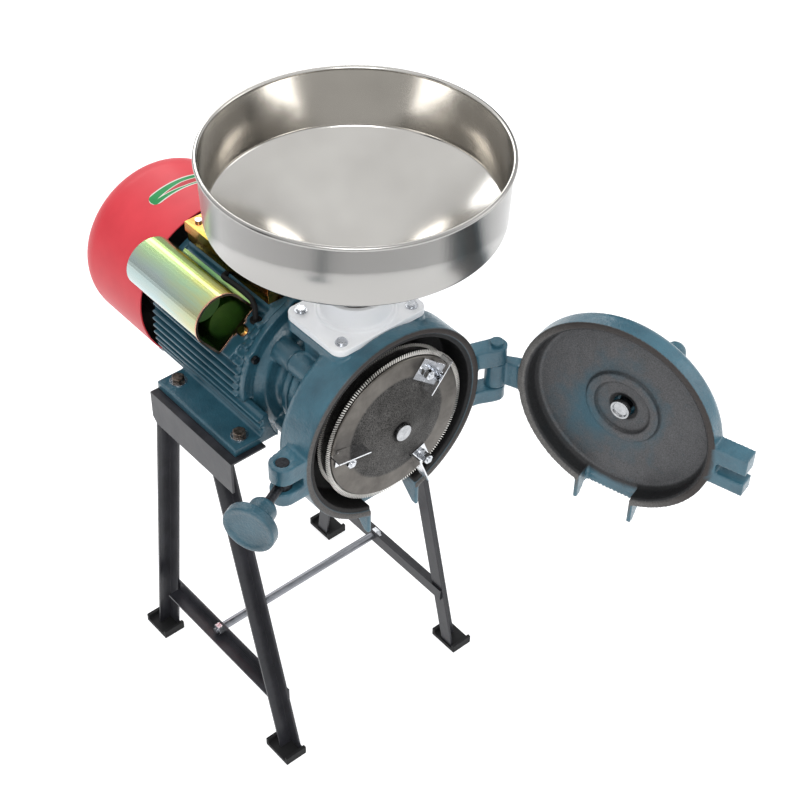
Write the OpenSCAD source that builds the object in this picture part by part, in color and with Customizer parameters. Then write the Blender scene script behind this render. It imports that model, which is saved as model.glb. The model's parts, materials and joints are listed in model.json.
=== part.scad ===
// Electric grain mill: a disc mill on the end of a foot-mounted motor, with a pan hopper
// above, a hinged lid with a swing-bolt lock, and a two-sided steel stand.
// Every module is drawn about the motor shaft: X to the hinge side, Y back to the motor, Z up,
// with Y = 0 at the open face of the grinding chamber. place() then moves it on to the floor.

/* [Overall] */
// Height of the motor shaft above the floor
shaft_h = 471; // [440:1:520]
// Angle that the lid stands open at
lid_open = 105; // [90:1:115]
// Direction that the swing bolt rests in, seen from above
bolt_rest = 205; // [190:1:230]

/* [Stand] */
// Flange width of the leg and brace angle
angle_w = 18; // [16:0.5:20]
// Thickness of the stand's steel
steel_t = 2.5; // [2:0.5:3]
// Distance from the middle to the outer face of a rail
rail_x = 139; // [136:1:145]
// Width of a rail's top flange
rail_w = 45; // [40:1:46]
// Height of a rail's skirt
rail_drop = 42; // [34:1:50]
// Front end of the rails
rail_y = 97; // [92:1:100]
// Length of the rails
rail_len = 146; // [144:1:160]
// Where the front legs meet the floor, at their back edge
front_foot_y = 40; // [20:1:60]
// Where the rear legs meet the floor, at their back edge
rear_foot_y = 291; // [270:1:310]
// Lean of the front legs
front_lean = 14.2; // [10:0.1:15]
// Lean of the rear legs
rear_lean = 7.4; // [4:0.1:10]
// Height of the braces above the floor
brace_h = 75; // [60:1:110]
// Height of a brace's upright flange
brace_w = 16; // [14:0.5:18]
// Radius of the tie rod
rod_r = 5; // [4.5:0.5:5.5]
// Radius of the tie rod's threaded ends
rod_end_r = 4; // [3:0.5:4]
// Width across the flats of the tie rod nuts
rod_nut_af = 13; // [12:0.5:14]
// Length of a rubber foot
pad_len = 40; // [36:1:44]
// Width of a rubber foot
pad_w = 28; // [24:1:32]
// Thickness of rubber under a leg
pad_t = 5; // [4:0.5:8]
// Height of the lips at a rubber foot's ends
pad_lip = 11; // [8:0.5:14]

/* [Motor] */
// Drop from the shaft to the underside of the motor feet
foot_drop = 42; // [40:1:48]
// Thickness of a foot plate
foot_t = 10; // [8:0.5:12]
// Distance from the middle to the outer edge of a foot plate
foot_x = 129; // [127:1:132]
// Front end of the foot plates
foot_y = 103; // [102:1:106]
// Length of the foot plates
foot_len = 140; // [136:1:146]
// Distance from the middle to the foot bolts
foot_bolt_x = 111.8; // [109:0.1:112]
// Distance of the foot bolts from the foot plate's ends
foot_bolt_in = 15; // [13:1:30]
// Radius of the foot bolts
foot_bolt_r = 4; // [3:0.5:4]
// Distance from the middle to the side of the finned housing
housing_x = 98; // [97:0.5:100]
// Radius round the tips of the cooling fins
fin_r = 99; // [97:0.5:101]
// Spacing of the cooling fins
fin_pitch = 9.5; // [9:0.1:10]
// Thickness of a cooling fin
fin_t = 3; // [2.6:0.1:4]
// Outer radius of the housing's round core
core_r = 84; // [83:0.5:86]
// Radius of the bore that holds the stator
stator_r = 76; // [74:0.5:77]
// Front end of the housing
housing_y = 140; // [138:0.5:142]
// Length of the housing
housing_len = 160; // [155:1:165]
// Distance from the housing's front end to the stator core
core_in = 34; // [32:1:36]
// Distance from the stator core to the housing's back end
core_out = 42; // [40:1:44]
// Length of the windings beyond each end of the stator core
coil_len = 18; // [14:1:20]
// Inner radius of the stator core
core_bore = 48; // [46:0.5:50]
// Air gap between the rotor and the stator core
air_gap = 0.6; // [0.4:0.1:1]
// Radius of the flange where the front end shield meets the housing
flange_r = 95; // [94:0.5:97]
// Thickness of that flange, on the shield and on the housing
flange_t = 8; // [7:0.5:9]
// Distance of the shield's screws from the shaft
shield_screw_r = 90; // [89:0.5:91]
// Radius of the motor shaft
shaft_r = 12; // [11:0.5:13]
// Outer radius of the bearings
bearing_r = 26; // [25:0.5:28]
// Width of the bearings
bearing_w = 15; // [14:0.5:16]
// Outer radius of the fan cowl
cowl_r = 99.2; // [98.8:0.1:101]
// Gap between the housing's back end and the fan cowl's front edge
cowl_gap = 14; // [12:0.5:16]
// Length of the fan cowl
cowl_len = 131.5; // [126:0.5:136]
// Radius of the cowl's rounded back edge
cowl_round = 36.5; // [32:0.5:41]
// Thickness of the cowl's sheet
cowl_t = 1.6; // [1.2:0.1:2.2]
// Radius of the fan
fan_r = 76; // [70:1:80]
// Distance from the cowl's front edge to the fan
fan_in = 38; // [36:1:42]
// Length of the fan's hub
fan_len = 44; // [40:1:48]

/* [Motor fittings] */
// Half width of the terminal box
term_x = 44; // [42:0.5:44]
// Distance from the housing's front end to the terminal box
term_in = 10; // [9:0.5:12]
// Distance from the terminal box to the housing's back end
term_out = 8; // [7:0.5:10]
// Height of the terminal box's floor above the shaft
term_z = 88; // [87:0.5:90]
// Height of the terminal box's walls
term_h = 16; // [16:0.5:18]
// Height of the terminal cover's top above the box
cover_h = 8; // [7:0.5:10]
// Direction in which the capacitor cover stands off the motor, from the hinge side
cap_dir = 128; // [127:0.5:129]
// Distance from the shaft to the capacitor cover's base
cap_stand = 94; // [93.5:0.5:95]
// Sideways shift of the capacitor cover along its base
cap_shift = 22; // [21:0.5:24]
// Width of the capacitor cover
cap_w = 59; // [58:0.5:60]
// Height of the straight walls of the capacitor cover
cap_wall = 31.5; // [29:0.5:33]
// Distance from the housing's front end to the capacitor cover
cap_in = 25; // [24.5:0.5:28]
// Distance from the capacitor cover to the housing's back end
cap_out = 9.5; // [8.5:0.5:14]
// Width of the flange along the capacitor cover's inner side
cap_flange = 3; // [2:0.5:3]
// Outward flare of the capacitor cover's front edge
cap_lip = 1.2; // [0.6:0.2:1.4]
// Radius of the capacitor
cap_r = 21; // [18:0.5:23]
// Length of the capacitor
run_cap_len = 84; // [76:1:86]
// Distance from the cover's front edge to the capacitor
run_cap_in = 38; // [36:1:39]
// Thickness of the zinc-plated sheet
sheet_t = 1.5; // [1.2:0.1:1.8]
// Diameter of the short motor lead
lead_d = 6; // [5:0.5:6.5]

/* [Mill body] */
// Outer radius of the grinding chamber and the lid
drum_r = 115; // [113:0.5:117]
// Thickness of the grinding chamber's wall
drum_wall = 12; // [11:0.5:14]
// Depth of the grinding chamber
chamber_d = 42; // [40:0.5:44]
// Thickness of the chamber's back wall
drum_back = 9; // [8:0.5:10]
// Radius of the neck behind the chamber
neck_r = 58; // [57:0.5:60]
// Inner radius of the feed cavity in the neck
cavity_r = 44; // [42:0.5:46]
// Joint face between the mill and the motor
joint_y = 97; // [96:0.5:98]
// Sideways and upright distance of the four body bolts from the shaft
lug_xz = 49; // [48:0.5:50]
// Radius of the bolt lugs
lug_r = 14; // [13:0.5:15]
// Radius of the body bolts
body_bolt_r = 5; // [4:0.5:5]
// Middle of the hopper behind the chamber's face
hopper_y = 62; // [60:0.5:64]
// How far the feed platform lies below the chamber's top
platform_drop = 7; // [4:0.5:9]
// Half width of the feed seat plate
seat_x = 58; // [56:0.5:60]
// Half depth of the feed seat plate
seat_y = 44; // [42:0.5:46]
// Corner radius of the feed seat plate
seat_round = 12; // [10:0.5:13]
// Thickness of the feed seat plate
seat_t = 8; // [7:0.5:10]
// Height of the collar on the feed seat
collar_h = 26; // [20:1:32]
// Radius of the feed throat
throat_r = 26; // [24:0.5:27]
// Half width of the flour spout
spout_x = 31; // [29:0.5:33]
// How far the flour spout reaches below the chamber
spout_drop = 21; // [18:1:27]
// Thickness of the spout's walls
spout_t = 4.5; // [4:0.5:6]

/* [Grinding discs] */
// Radius of both grinding discs
disc_r = 83.5; // [81:0.5:86]
// Thickness of the turning disc
disc_t = 10; // [8:0.5:11]
// Thickness of the fixed disc
fixed_t = 9; // [8:0.5:10]
// Gap between the discs with the lid open
disc_gap = 9; // [9:0.5:11]
// How far the turning disc can be pressed in
float_travel = 8; // [5:0.5:8.5]
// Radius of the turning disc's hub
hub_r = 20; // [18:0.5:21]
// Height of the turning disc's domed middle
dome_h = 9; // [8:0.5:9]
// Radius of the thrust cap at the middle
cap_nut_r = 9.5; // [8:0.5:10]
// Height of the thrust cap
cap_nut_h = 5; // [4:0.5:5]
// Height of the sweeper blades
blade_h = 18.4; // [16:0.2:18.4]
// Inner end of the sweeper blades
blade_r0 = 49; // [47:0.5:51]
// Outer end of the sweeper blades
blade_r1 = 90; // [86:0.5:91]
// Width of a blade's foot
blade_w = 20; // [18:0.5:21]
// Distance of a blade's stud from the disc's middle
blade_stud_r = 67; // [66:0.5:68]
// Angle of the first blade
blade_a = 50; // [0:1:119]

/* [Lid] */
// Depth of the lid's side wall outside
lid_d = 26; // [25.5:0.5:29]
// Depth of the lid's hollow
lid_hollow = 22; // [21:0.5:23]
// Thickness of the lid's side wall
lid_wall = 10; // [9:0.5:11]
// Inner radius of the ring cast inside the lid
ring_r0 = 32.5; // [31:0.5:34]
// Outer radius of the ring cast inside the lid
ring_r1 = 42.5; // [41:0.5:44]
// Height of the ring cast inside the lid
ring_h = 4; // [3:0.5:5]
// Radius of the boss that carries the adjusting screw
boss_r = 23; // [21:0.5:26]
// Length of that boss outside the lid
boss_h = 14; // [12:0.5:18]
// Radius of the recess round the adjusting screw
recess_r = 12; // [11.5:0.5:13]
// Radius of the adjusting screw
screw_r = 8; // [7:0.5:8]
// Radius of the thrust tip on the adjusting screw
tip_r = 10.7; // [9.5:0.1:11]
// Clearance between the thrust tip and the thrust cap with the lid shut
tip_gap = 0.4; // [0.3:0.1:1]
// Travel of the adjusting screw
adjust_travel = 10; // [6:0.5:10]
// Reach of the adjusting handle's arms
handle_reach = 66; // [58:1:70]
// Radius of the handle's round ends
handle_end_r = 12; // [10:0.5:13]
// Turn of the handle from upright
handle_turn = -27; // [-45:1:0]

/* [Hinge and lock] */
// Distance from the chamber's outside to the hinge pin
hinge_out = 26.5; // [25.5:0.5:29]
// Distance of the hinge pin behind the chamber's face
hinge_y = 2.5; // [2:0.5:3.5]
// Radius of the hinge knuckles
knuckle_r = 11.5; // [10.5:0.5:12]
// Radius of the hinge pin
hinge_pin_r = 5; // [4:0.5:5.5]
// Height of the lid's knuckle
knuckle_h = 31; // [28:0.5:33]
// Height of the body's upper hinge ear
upper_ear_h = 22; // [19:0.5:24]
// Height of the body's lower hinge ear
lower_ear_h = 18; // [16:0.5:20]
// Height of the middle of the hinge and the lock against the shaft
joint_z = -6; // [-8:0.5:-5]
// Distance from the chamber's outside to the swing bolt's pin
pivot_out = 18; // [17:0.5:20]
// Distance of the swing bolt's pin behind the chamber's face
pivot_y = 14.5; // [14.3:0.1:16]
// Radius of the ears round the swing bolt's pin
pivot_ear_r = 14; // [13:0.5:14]
// Radius of the swing bolt's pin
pivot_pin_r = 4; // [3:0.5:4.5]
// Height of the slot for the swing bolt
slot_h = 12; // [11.5:0.5:14]
// Height of the lock lug above the slot
lug_top = 21; // [18:0.5:23]
// Height of the lock lug below the slot
lug_low = 16; // [14:0.5:19]
// Depth of the lid's lock lug
lug_d = 20; // [18:0.5:21]
// Distance from the chamber's outside to the end of the lid's lock lug
lug_out = 35; // [33:0.5:37]
// Radius of the swing bolt's shank
swing_r = 5; // [4:0.5:5]
// Distance from the pin to the knob's washer
knob_start = 36; // [35.5:0.5:40]
// Radius of the knob's neck
knob_neck_r = 14.5; // [13:0.5:15.5]
// Length of the knob's neck
knob_neck = 24; // [22:0.5:26]
// Radius of the knob's disc
knob_r = 28; // [26:0.5:30]
// Thickness of the knob's disc
knob_t = 12; // [10:0.5:13]

/* [Hopper] */
// Radius of the hopper's rim
hopper_r = 150; // [140:1:155]
// Height of the rim above the feed seat
hopper_h = 188; // [180:1:196]
// Height of the hopper's upright wall
hopper_wall = 69; // [62:1:76]
// Radius of the wall's foot
hopper_low_r = 145; // [138:1:148]
// Radius of the hopper's neck
hopper_neck_r = 31; // [29.5:0.5:32]
// Height of the hopper's neck above the feed seat
hopper_neck = 38; // [34:1:44]
// Thickness of the hopper's sheet
hopper_t = 1.2; // [1:0.1:1.6]
// Radius of the hopper's rolled rim
bead_r = 2.6; // [2:0.1:3.2]

/* [Fits] */
// Clearance of a running fit
run_gap = 0.06; // [0.04:0.01:0.08]
// Clearance round a fixed piece in its seat
seat_gap = 0.1; // [0.05:0.01:0.15]
// Clearance between faces that move past each other
face_gap = 0.5; // [0.3:0.1:0.6]

/* [Hidden] */
fine = 96;
small = 32;
eps = 0.01;

lid_y = 0.3;
washer_t = 1.5;

// places that follow from the sizes above
chamber_r = drum_r - drum_wall;
lid_inner_r = drum_r - lid_wall;
platform_z = drum_r - platform_drop;
seat_top = platform_z + seat_t;
hopper_z = seat_top + hopper_h;
hopper_neck_z = seat_top + hopper_neck;
spout_z = drum_r + spout_drop;
hinge_x = drum_r + hinge_out;
pivot_x = drum_r + pivot_out;
lug_x = drum_r + lug_out;
housing_end = housing_y + housing_len;
cowl_y = housing_end + cowl_gap;
fan_y = cowl_y + fan_in;
term_y = housing_y + term_in;
term_len = housing_len - term_in - term_out;
cap_y = housing_y + cap_in;
cap_len = housing_len - cap_in - cap_out;

// The part's origin is the middle of its bounding box, on the floor.
handle_d = lid_d + boss_h + 24;
screw_end_d = handle_d + 16;
reach_x = hinge_x + (hinge_y + screw_end_d) * sin(lid_open) - hinge_x * cos(lid_open);
reach_y = hinge_y - (hinge_x + lug_x) * sin(lid_open) - (hinge_y + lid_y) * cos(lid_open);
knob_end = knob_start + washer_t + knob_neck + knob_t;
reach_left = -pivot_x + (knob_end - knob_t / 2) * cos(bolt_rest) + knob_r * sin(bolt_rest);
mid_x = (reach_x + reach_left) / 2;
mid_y = (cowl_y + cowl_len + reach_y) / 2;
floor_z = -shaft_h;

module place() translate([-mid_x, -mid_y, shaft_h]) children();

// ---- shapes that several pieces share ----

// A cylinder that runs back along Y from the point given.
module rod_y(r, y, len, x = 0, z = 0, fn = fine)
    translate([x, y, z]) rotate([-90, 0, 0]) cylinder(h = len, r = r, $fn = fn);

// A cylinder that runs along X from the point given.
module rod_x(r, x, len, y = 0, z = 0, fn = small)
    translate([x, y, z]) rotate([0, 90, 0]) cylinder(h = len, r = r, $fn = fn);

// A solid of revolution about the shaft, from an outline of [radius, y] points.
module turned(points, fn = fine) rotate([-90, 0, 0]) rotate_extrude($fn = fn) polygon(points);

// A flat shape in the XZ plane, pushed back along Y.
module slab_y(y, len) translate([0, y + len, 0]) rotate([90, 0, 0]) linear_extrude(len) children();

// A flat shape in the YZ plane, pushed along X.
module slab_x(x, len) translate([x, 0, 0]) rotate([90, 0, 90]) linear_extrude(len) children();

module block(x0, x1, y0, y1, z0, z1) translate([x0, y0, z0]) cube([x1 - x0, y1 - y0, z1 - z0]);

function arc(cx, cy, r, a0, a1, n = 12) =
    [for (i = [0:n]) let (a = a0 + (a1 - a0) * i / n) [cx + r * cos(a), cy + r * sin(a)]];

module hex_head(af, h) cylinder(h = h, r = af / 2 / cos(30), $fn = 6);

module both_sides() {
    children();
    mirror([1, 0, 0]) children();
}

// A flat plate with rounded corners, centred at the origin.
module round_plate(hx, hy, r, h) {
    linear_extrude(h) union() {
        square([2 * (hx - r), 2 * hy], center = true);
        square([2 * hx, 2 * (hy - r)], center = true);
        for (x = [-1, 1], y = [-1, 1]) translate([x * (hx - r), y * (hy - r)]) circle(r = r, $fn = 48);
    }
}

// ---- stand: each side is drawn on the left and mirrored for the right ----

foot_z = -foot_drop;
leg_plane = rail_x - steel_t - angle_w;
brace_z = floor_z + brace_h;
rod_y_pos = rail_y + rail_len / 2 + 5;
rod_z = brace_z + steel_t + rod_nut_af / 2;
foot_bolt_y = [foot_y + foot_bolt_in, foot_y + foot_len - foot_bolt_in];
skirt_cut = 7;

module rail() {
    top = foot_z;
    low = foot_z - rail_drop;
    end = rail_y + rail_len;
    difference() {
        union() {
            block(-rail_x, -rail_x + rail_w, rail_y, end, top - steel_t, top);
            slab_x(-rail_x, steel_t) polygon([
                [rail_y, top], [end, top], [end, low + skirt_cut], [end - skirt_cut, low], [rail_y, low]
            ]);
        }
        for (y = foot_bolt_y) translate([-foot_bolt_x, y, top - rail_drop])
            cylinder(h = 2 * rail_drop, r = foot_bolt_r + 0.5, $fn = small);
    }
}

// An L-section leg whose corner stands at (-leg_plane, y) on the floor and leans by the angle.
module leg(y, lean) {
    section = [
        [0, 0], [-angle_w, 0], [-angle_w, -steel_t], [-steel_t, -steel_t],
        [-steel_t, -angle_w], [0, -angle_w]
    ];
    intersection() {
        translate([-leg_plane, y, floor_z]) rotate([-lean, 0, 0]) translate([0, 0, -20])
            linear_extrude(shaft_h) polygon(section);
        block(-rail_x, 0, y - 200, y + 200, floor_z + pad_t, foot_z - steel_t);
    }
}

module front_leg() leg(front_foot_y, front_lean);
module rear_leg() leg(rear_foot_y, -rear_lean);

module brace() {
    y0 = front_foot_y + brace_h * tan(front_lean);
    y1 = rear_foot_y - (brace_h + steel_t) * tan(rear_lean) - angle_w / cos(rear_lean);
    difference() {
        union() {
            block(-leg_plane, -leg_plane + steel_t, y0 - angle_w + 4, y1 + angle_w - 4,
                brace_z, brace_z + brace_w);
            block(-leg_plane - angle_w + 2, -leg_plane, y0 + 1.5, y1 - 0.5, brace_z, brace_z + steel_t);
        }
        rod_x(rod_end_r + 0.2, -rail_x, rail_x, rod_y_pos, rod_z);
    }
}

module foot_pad(y) {
    x1 = -leg_plane + 2;
    x0 = x1 - pad_w;
    block(x0, x1, y, y + pad_len, floor_z, floor_z + pad_t);
    for (e = [y, y + pad_len - 4]) block(x0, x1, e, e + 4, floor_z, floor_z + pad_lip);
}

module left_rail() color("#1e1e20") place() rail();
module right_rail() color("#1e1e20") place() mirror([1, 0, 0]) rail();
module left_front_leg() color("#1e1e20") place() front_leg();
module right_front_leg() color("#1e1e20") place() mirror([1, 0, 0]) front_leg();
module left_rear_leg() color("#1e1e20") place() rear_leg();
module right_rear_leg() color("#1e1e20") place() mirror([1, 0, 0]) rear_leg();
module left_brace() color("#1e1e20") place() brace();
module right_brace() color("#1e1e20") place() mirror([1, 0, 0]) brace();

module rubber_feet() color("#141414") place() both_sides() {
    foot_pad(front_foot_y - angle_w - 5.5);
    foot_pad(rear_foot_y - angle_w - 8);
}

module tie_rod() color("#c4c6c8") place() {
    inner = leg_plane - steel_t;
    rod_x(rod_r, -inner, 2 * inner, rod_y_pos, rod_z);
    tip = leg_plane + 9;
    rod_x(rod_end_r, -tip, 2 * tip, rod_y_pos, rod_z);
}

module tie_rod_nuts() color("#c4c6c8") place() both_sides()
    translate([-leg_plane, rod_y_pos, rod_z]) rotate([0, -90, 0]) difference() {
        rotate([0, 0, 30]) hex_head(rod_nut_af, 6.5);
        translate([0, 0, -1]) cylinder(h = 9, r = rod_end_r + run_gap, $fn = small);
    }

// ---- motor ----

head_h = 6.4;

module motor_foot_bolts() color("#c4c6c8") place() both_sides()
    for (y = foot_bolt_y) translate([-foot_bolt_x, y, 0]) {
        af = 2 * foot_bolt_r + 5;
        top = foot_z + foot_t;
        low = foot_z - steel_t;
        translate([0, 0, top]) cylinder(h = 1.2, r = af / 2 + 1.3, $fn = small);
        translate([0, 0, top + 1.2]) hex_head(af, head_h - 1);
        translate([0, 0, low - 10]) cylinder(h = top - low + 11, r = foot_bolt_r, $fn = small);
        translate([0, 0, low - 7]) difference() {
            rotate([0, 0, 30]) hex_head(af, 7);
            translate([0, 0, -1]) cylinder(h = 9, r = foot_bolt_r + run_gap, $fn = small);
        }
    }

// Turns a shape so that its Z points the way the capacitor cover stands off the motor.
module at_capacitor() rotate([0, 90 - cap_dir, 0]) children();

fin_rows = floor((2 * 76 - 38) / fin_pitch);

module housing_fins() {
    for (k = [0:fin_rows]) {
        z = fin_t / 2 - foot_drop + 1 + k * fin_pitch;
        low = z < -8;
        x = min(housing_x, sqrt(fin_r * fin_r - z * z));
        block(-x, x, low ? foot_y : housing_y, housing_end - 8, z - fin_t / 2, z + fin_t / 2);
    }
    for (k = [-6:6]) {
        x = k * fin_pitch;
        z = sqrt(fin_r * fin_r - x * x);
        block(x - fin_t / 2, x + fin_t / 2, housing_y, housing_end - 8, -z, 0);
    }
    for (k = [5:7]) {
        x = k * fin_pitch + 2;
        block(x - fin_t / 2, x + fin_t / 2, housing_y, housing_end - 8, 0, sqrt(fin_r * fin_r - x * x));
    }
}

shield_angles = [30, 75, 105, 150];

// What lies above the feet, where the end shield's flange is.
module upper_half() intersection() {
    children();
    block(-2 * flange_r, 2 * flange_r, housing_y - 20, housing_y + 20, -5.9, 2 * flange_r);
}

module motor_housing() color("#2f5a68") place() difference() {
    union() {
        rod_y(core_r, housing_y, housing_len);
        housing_fins();
        upper_half() rod_y(flange_r, housing_y, flange_t);
        both_sides() {
            block(-housing_x + 6, -55, foot_y, foot_y + foot_len, foot_z, -6);
            block(-foot_x, -housing_x + 6, foot_y, foot_y + foot_len, foot_z, foot_z + foot_t);
        }
        block(-term_x, term_x, term_y, term_y + term_len, 55, term_z);
        at_capacitor() block(-cap_shift - cap_w / 2 + 2, -cap_shift + cap_w / 2 - 2,
            cap_y - ear_out - 7, cap_y + cap_len - 5.3, 50, cap_base);
        translate([lead_in[0], lead_in[1], 45]) cylinder(h = lead_in[2] - 45, r = grommet_r + 3.2, $fn = small);
    }
    rod_y(stator_r + seat_gap, housing_y - 1, housing_len + 2);
    rod_y(core_r + 1, foot_y - 1, housing_y - foot_y + 1);
    for (a = shield_angles) rotate([0, -a, 0])
        rod_y(2.55, housing_y - 1, flange_t + 4, shield_screw_r, 0, small);
    // the flat that the capacitor cover stands on, with its screw hole
    at_capacitor() {
        block(-cap_shift - cap_w / 2 - 12, -cap_shift + cap_w / 2 + 13,
            cap_y - ear_out - 10, cap_y + cap_len + 6, cap_base, 2 * cap_stand);
        translate([ear_u - cap_shift, cap_y - ear_out, cap_base - 12])
            cylinder(h = 14, r = 2.55, $fn = small);
    }
    both_sides() for (y = foot_bolt_y) translate([-foot_bolt_x, y, foot_z - 1])
        cylinder(h = foot_t + 2, r = foot_bolt_r + 0.5, $fn = small);
    // where the lead goes in, and where it comes out of the pedestal
    translate([lead_in[0], lead_in[1], lead_in[2]]) cylinder(h = 40, r = grommet_r + 4.2, $fn = small);
    translate([lead_in[0], lead_in[1], lead_in[2] - 9])
        cylinder(h = 12, r = grommet_r + seat_gap, $fn = small);
    rod_x(lead_d / 2 + 0.3, -term_x - 1, 7, lead_out[1], lead_out[2]);
    translate([0, term_y + 50, 50]) cylinder(h = 50, r = 12, $fn = small);
}

stator_y = housing_y + core_in;
stator_len = housing_len - core_in - core_out;
stator_end = stator_y + stator_len;

module stator_core() color("#7b7e82") place() turned([
    [core_bore, stator_y], [stator_r, stator_y], [stator_r, stator_end], [core_bore, stator_end]
]);

module stator_windings() color("#b06a34") place() {
    for (y = [stator_y - coil_len, stator_end]) difference() {
        rod_y(stator_r - 3, y, coil_len);
        rod_y(core_bore + 4, y - 1, coil_len + 2);
    }
}

module rotor_core() color("#8a8c90") place() turned([
    [rotor_seat_r, stator_y], [core_bore - air_gap, stator_y], [core_bore - air_gap, stator_end],
    [rotor_seat_r, stator_end]
]);

shaft_y = 6;
shaft_back = fan_y + fan_len - 4;
bearing_y = [joint_y + 17, housing_end + 6];
rotor_seat_r = shaft_r + 2;

module motor_shaft() color("#b9bcc0") place() difference() {
    union() {
        rod_y(shaft_r, shaft_y, shaft_back - shaft_y);
        rod_y(rotor_seat_r, bearing_y[0] + bearing_w, bearing_y[1] - bearing_y[0] - bearing_w);
    }
    block(-key_w / 2, key_w / 2, key_y, key_y + key_len, shaft_r - key_w / 2, 2 * shaft_r);
}

race = 5;

module ball_bearings() color("#d0d2d4") place() for (y = bearing_y) {
    turned([
        [shaft_r + run_gap, y], [shaft_r + race, y], [shaft_r + race, y + bearing_w],
        [shaft_r + run_gap, y + bearing_w]
    ]);
    turned([
        [bearing_r - race, y], [bearing_r, y], [bearing_r, y + bearing_w], [bearing_r - race, y + bearing_w]
    ]);
    ball_r = (bearing_r - shaft_r - 2 * race) / 2;
    for (a = [0:45:315]) rotate([0, a, 0])
        translate([shaft_r + race + ball_r, y + bearing_w / 2, 0]) sphere(r = ball_r - 0.02, $fn = 24);
}

module lug_cylinders(r, y, len) for (x = [-1, 1], z = [-1, 1])
    rod_y(r, y, len, x * lug_xz, z * lug_xz, 48);

module front_end_shield() color("#2f5a68") place() difference() {
    union() {
        turned(concat(
            [[0, joint_y], [66, joint_y], [66, joint_y + 8], [60, joint_y + 10]],
            arc(64, joint_y + 18, 7, 220, 110, 6),
            arc(64, joint_y + 40, 18, 300, 350, 8),
            [[core_r - 0.5, housing_y - 9], [core_r - 0.5, housing_y], [0, housing_y]]
        ));
        upper_half() {
            rod_y(flange_r, housing_y - flange_t, flange_t);
            for (a = shield_angles) rotate([0, -a, 0])
                rod_y(8, housing_y - flange_t, flange_t, shield_screw_r, 0, small);
        }
        lug_cylinders(lug_r, joint_y, 27);
        rod_y(stator_r - seat_gap, housing_y - 1, 6);
    }
    turned([
        [0, joint_y + 16], [bearing_r - race + 1, joint_y + 16], [bearing_r - race + 1, joint_y + 17],
        [bearing_r, joint_y + 17], [bearing_r, joint_y + 17 + bearing_w],
        [bearing_r + 5, joint_y + 17 + bearing_w], [bearing_r + 5, housing_y - 4],
        [stator_r - 6, housing_y - 4], [stator_r - 6, housing_y + 8], [0, housing_y + 8]
    ]);
    rod_y(shaft_r + 1.5, joint_y - 1, 30);
    lug_cylinders(body_bolt_r + 0.05, joint_y - 1, 24);
    for (a = shield_angles) rotate([0, -a, 0])
        rod_y(2.8, housing_y - flange_t - 1, flange_t + 2, shield_screw_r, 0, small);
}

module shield_screws() color("#3a3c40") place() for (a = shield_angles) rotate([0, -a, 0])
    translate([shield_screw_r, housing_y - flange_t, 0]) rotate([-90, 0, 0]) {
        translate([0, 0, -4]) hex_head(8, 4);
        translate([0, 0, -0.5]) cylinder(h = flange_t + 9.5, r = 2.5, $fn = small);
    }

module rear_end_shield() color("#2f5a68") place() difference() {
    union() {
        turned([
            [0, housing_end], [core_r, housing_end], [core_r, housing_end + 8], [70, housing_end + 14],
            [34, housing_end + 16], [34, housing_end + 24], [0, housing_end + 24]
        ]);
        rod_y(stator_r - seat_gap, housing_end - 4, 5);
        for (a = cowl_angles) rotate([0, -a, 0])
            block(core_r - 6, sqrt((cowl_r - cowl_t) * (cowl_r - cowl_t) - 81) - 0.1,
                housing_end + 1, housing_end + 28, -9, 9);
    }
    rod_y(bearing_r, bearing_y[1], bearing_w);
    rod_y(stator_r - 6, housing_end - 6, 10);
    rod_y(shaft_r + 1.5, housing_end - 6, 40);
    rod_y(bearing_r + 5, housing_end, 6);
    for (a = cowl_angles) rotate([0, -a, 0])
        rod_x(2.5, cowl_r - 20, 22, cowl_y + 9);
}

cowl_angles = [90, 225, 315];

module cooling_fan() color("#26282a") place() {
    difference() {
        union() {
            rod_y(20, fan_y, fan_len);
            rod_y(fan_r - 8, fan_y, 2.5);
            for (a = [0:45:315]) rotate([0, a, 0])
                block(18, fan_r, fan_y, fan_y + fan_len - 4, -1.4, 1.4);
        }
        rod_y(shaft_r, fan_y - 1, fan_len + 2);
    }
}

// Rings of slots in the back of the cowl, cut short by six spokes.
module cowl_slots(back) difference() {
    for (r = [14:12:50]) turned([[r, back - 8], [r + 6, back - 8], [r + 6, back + 2], [r, back + 2]]);
    for (a = [0:60:120]) rotate([0, a, 0]) block(-cowl_r, cowl_r, back - 9, back + 3, -3.5, 3.5);
}

module fan_cowl() color("#df545c") place() difference() {
    back = cowl_y + cowl_len;
    turned(concat(
        [[cowl_r - cowl_t, cowl_y], [cowl_r, cowl_y]],
        arc(cowl_r - cowl_round, back - cowl_round, cowl_round, 0, 90, 16),
        [[0, back], [0, back - cowl_t]],
        arc(cowl_r - cowl_round, back - cowl_round, cowl_round - cowl_t, 90, 0, 16)
    ));
    cowl_slots(back);
    for (a = cowl_angles) rotate([0, -a, 0]) rod_x(2.7, cowl_r - 5, 10, cowl_y + 9);
}

module cowl_screws() color("#c4c6c8") place() for (a = cowl_angles) rotate([0, -a, 0]) {
    rod_x(2.4, cowl_r - 12, 12.5, cowl_y + 9);
    rod_x(4.6, cowl_r + 0.15, 2.4, cowl_y + 9);
}

// ---- terminal box, switch, capacitor and lead ----

term_top = term_z + term_h;
term_screw_x = term_x - 10;
term_screw_y = [term_y + 8, term_y + term_len - 8];

module terminal_box() color("#2f5a68") place() difference() {
    block(-term_x, term_x, term_y, term_y + term_len, term_z, term_top);
    block(-term_x + 4, term_x - 4, term_y + 18, term_y + term_len - 18, term_z + 4, term_top + 1);
    for (x = [-1, 1], y = term_screw_y) translate([x * term_screw_x, y, term_z + 4])
        cylinder(h = term_h, r = 2.05, $fn = small);
    rod_x(gland_r, term_x - 6, 10, gland_y, gland_z);
}

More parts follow.
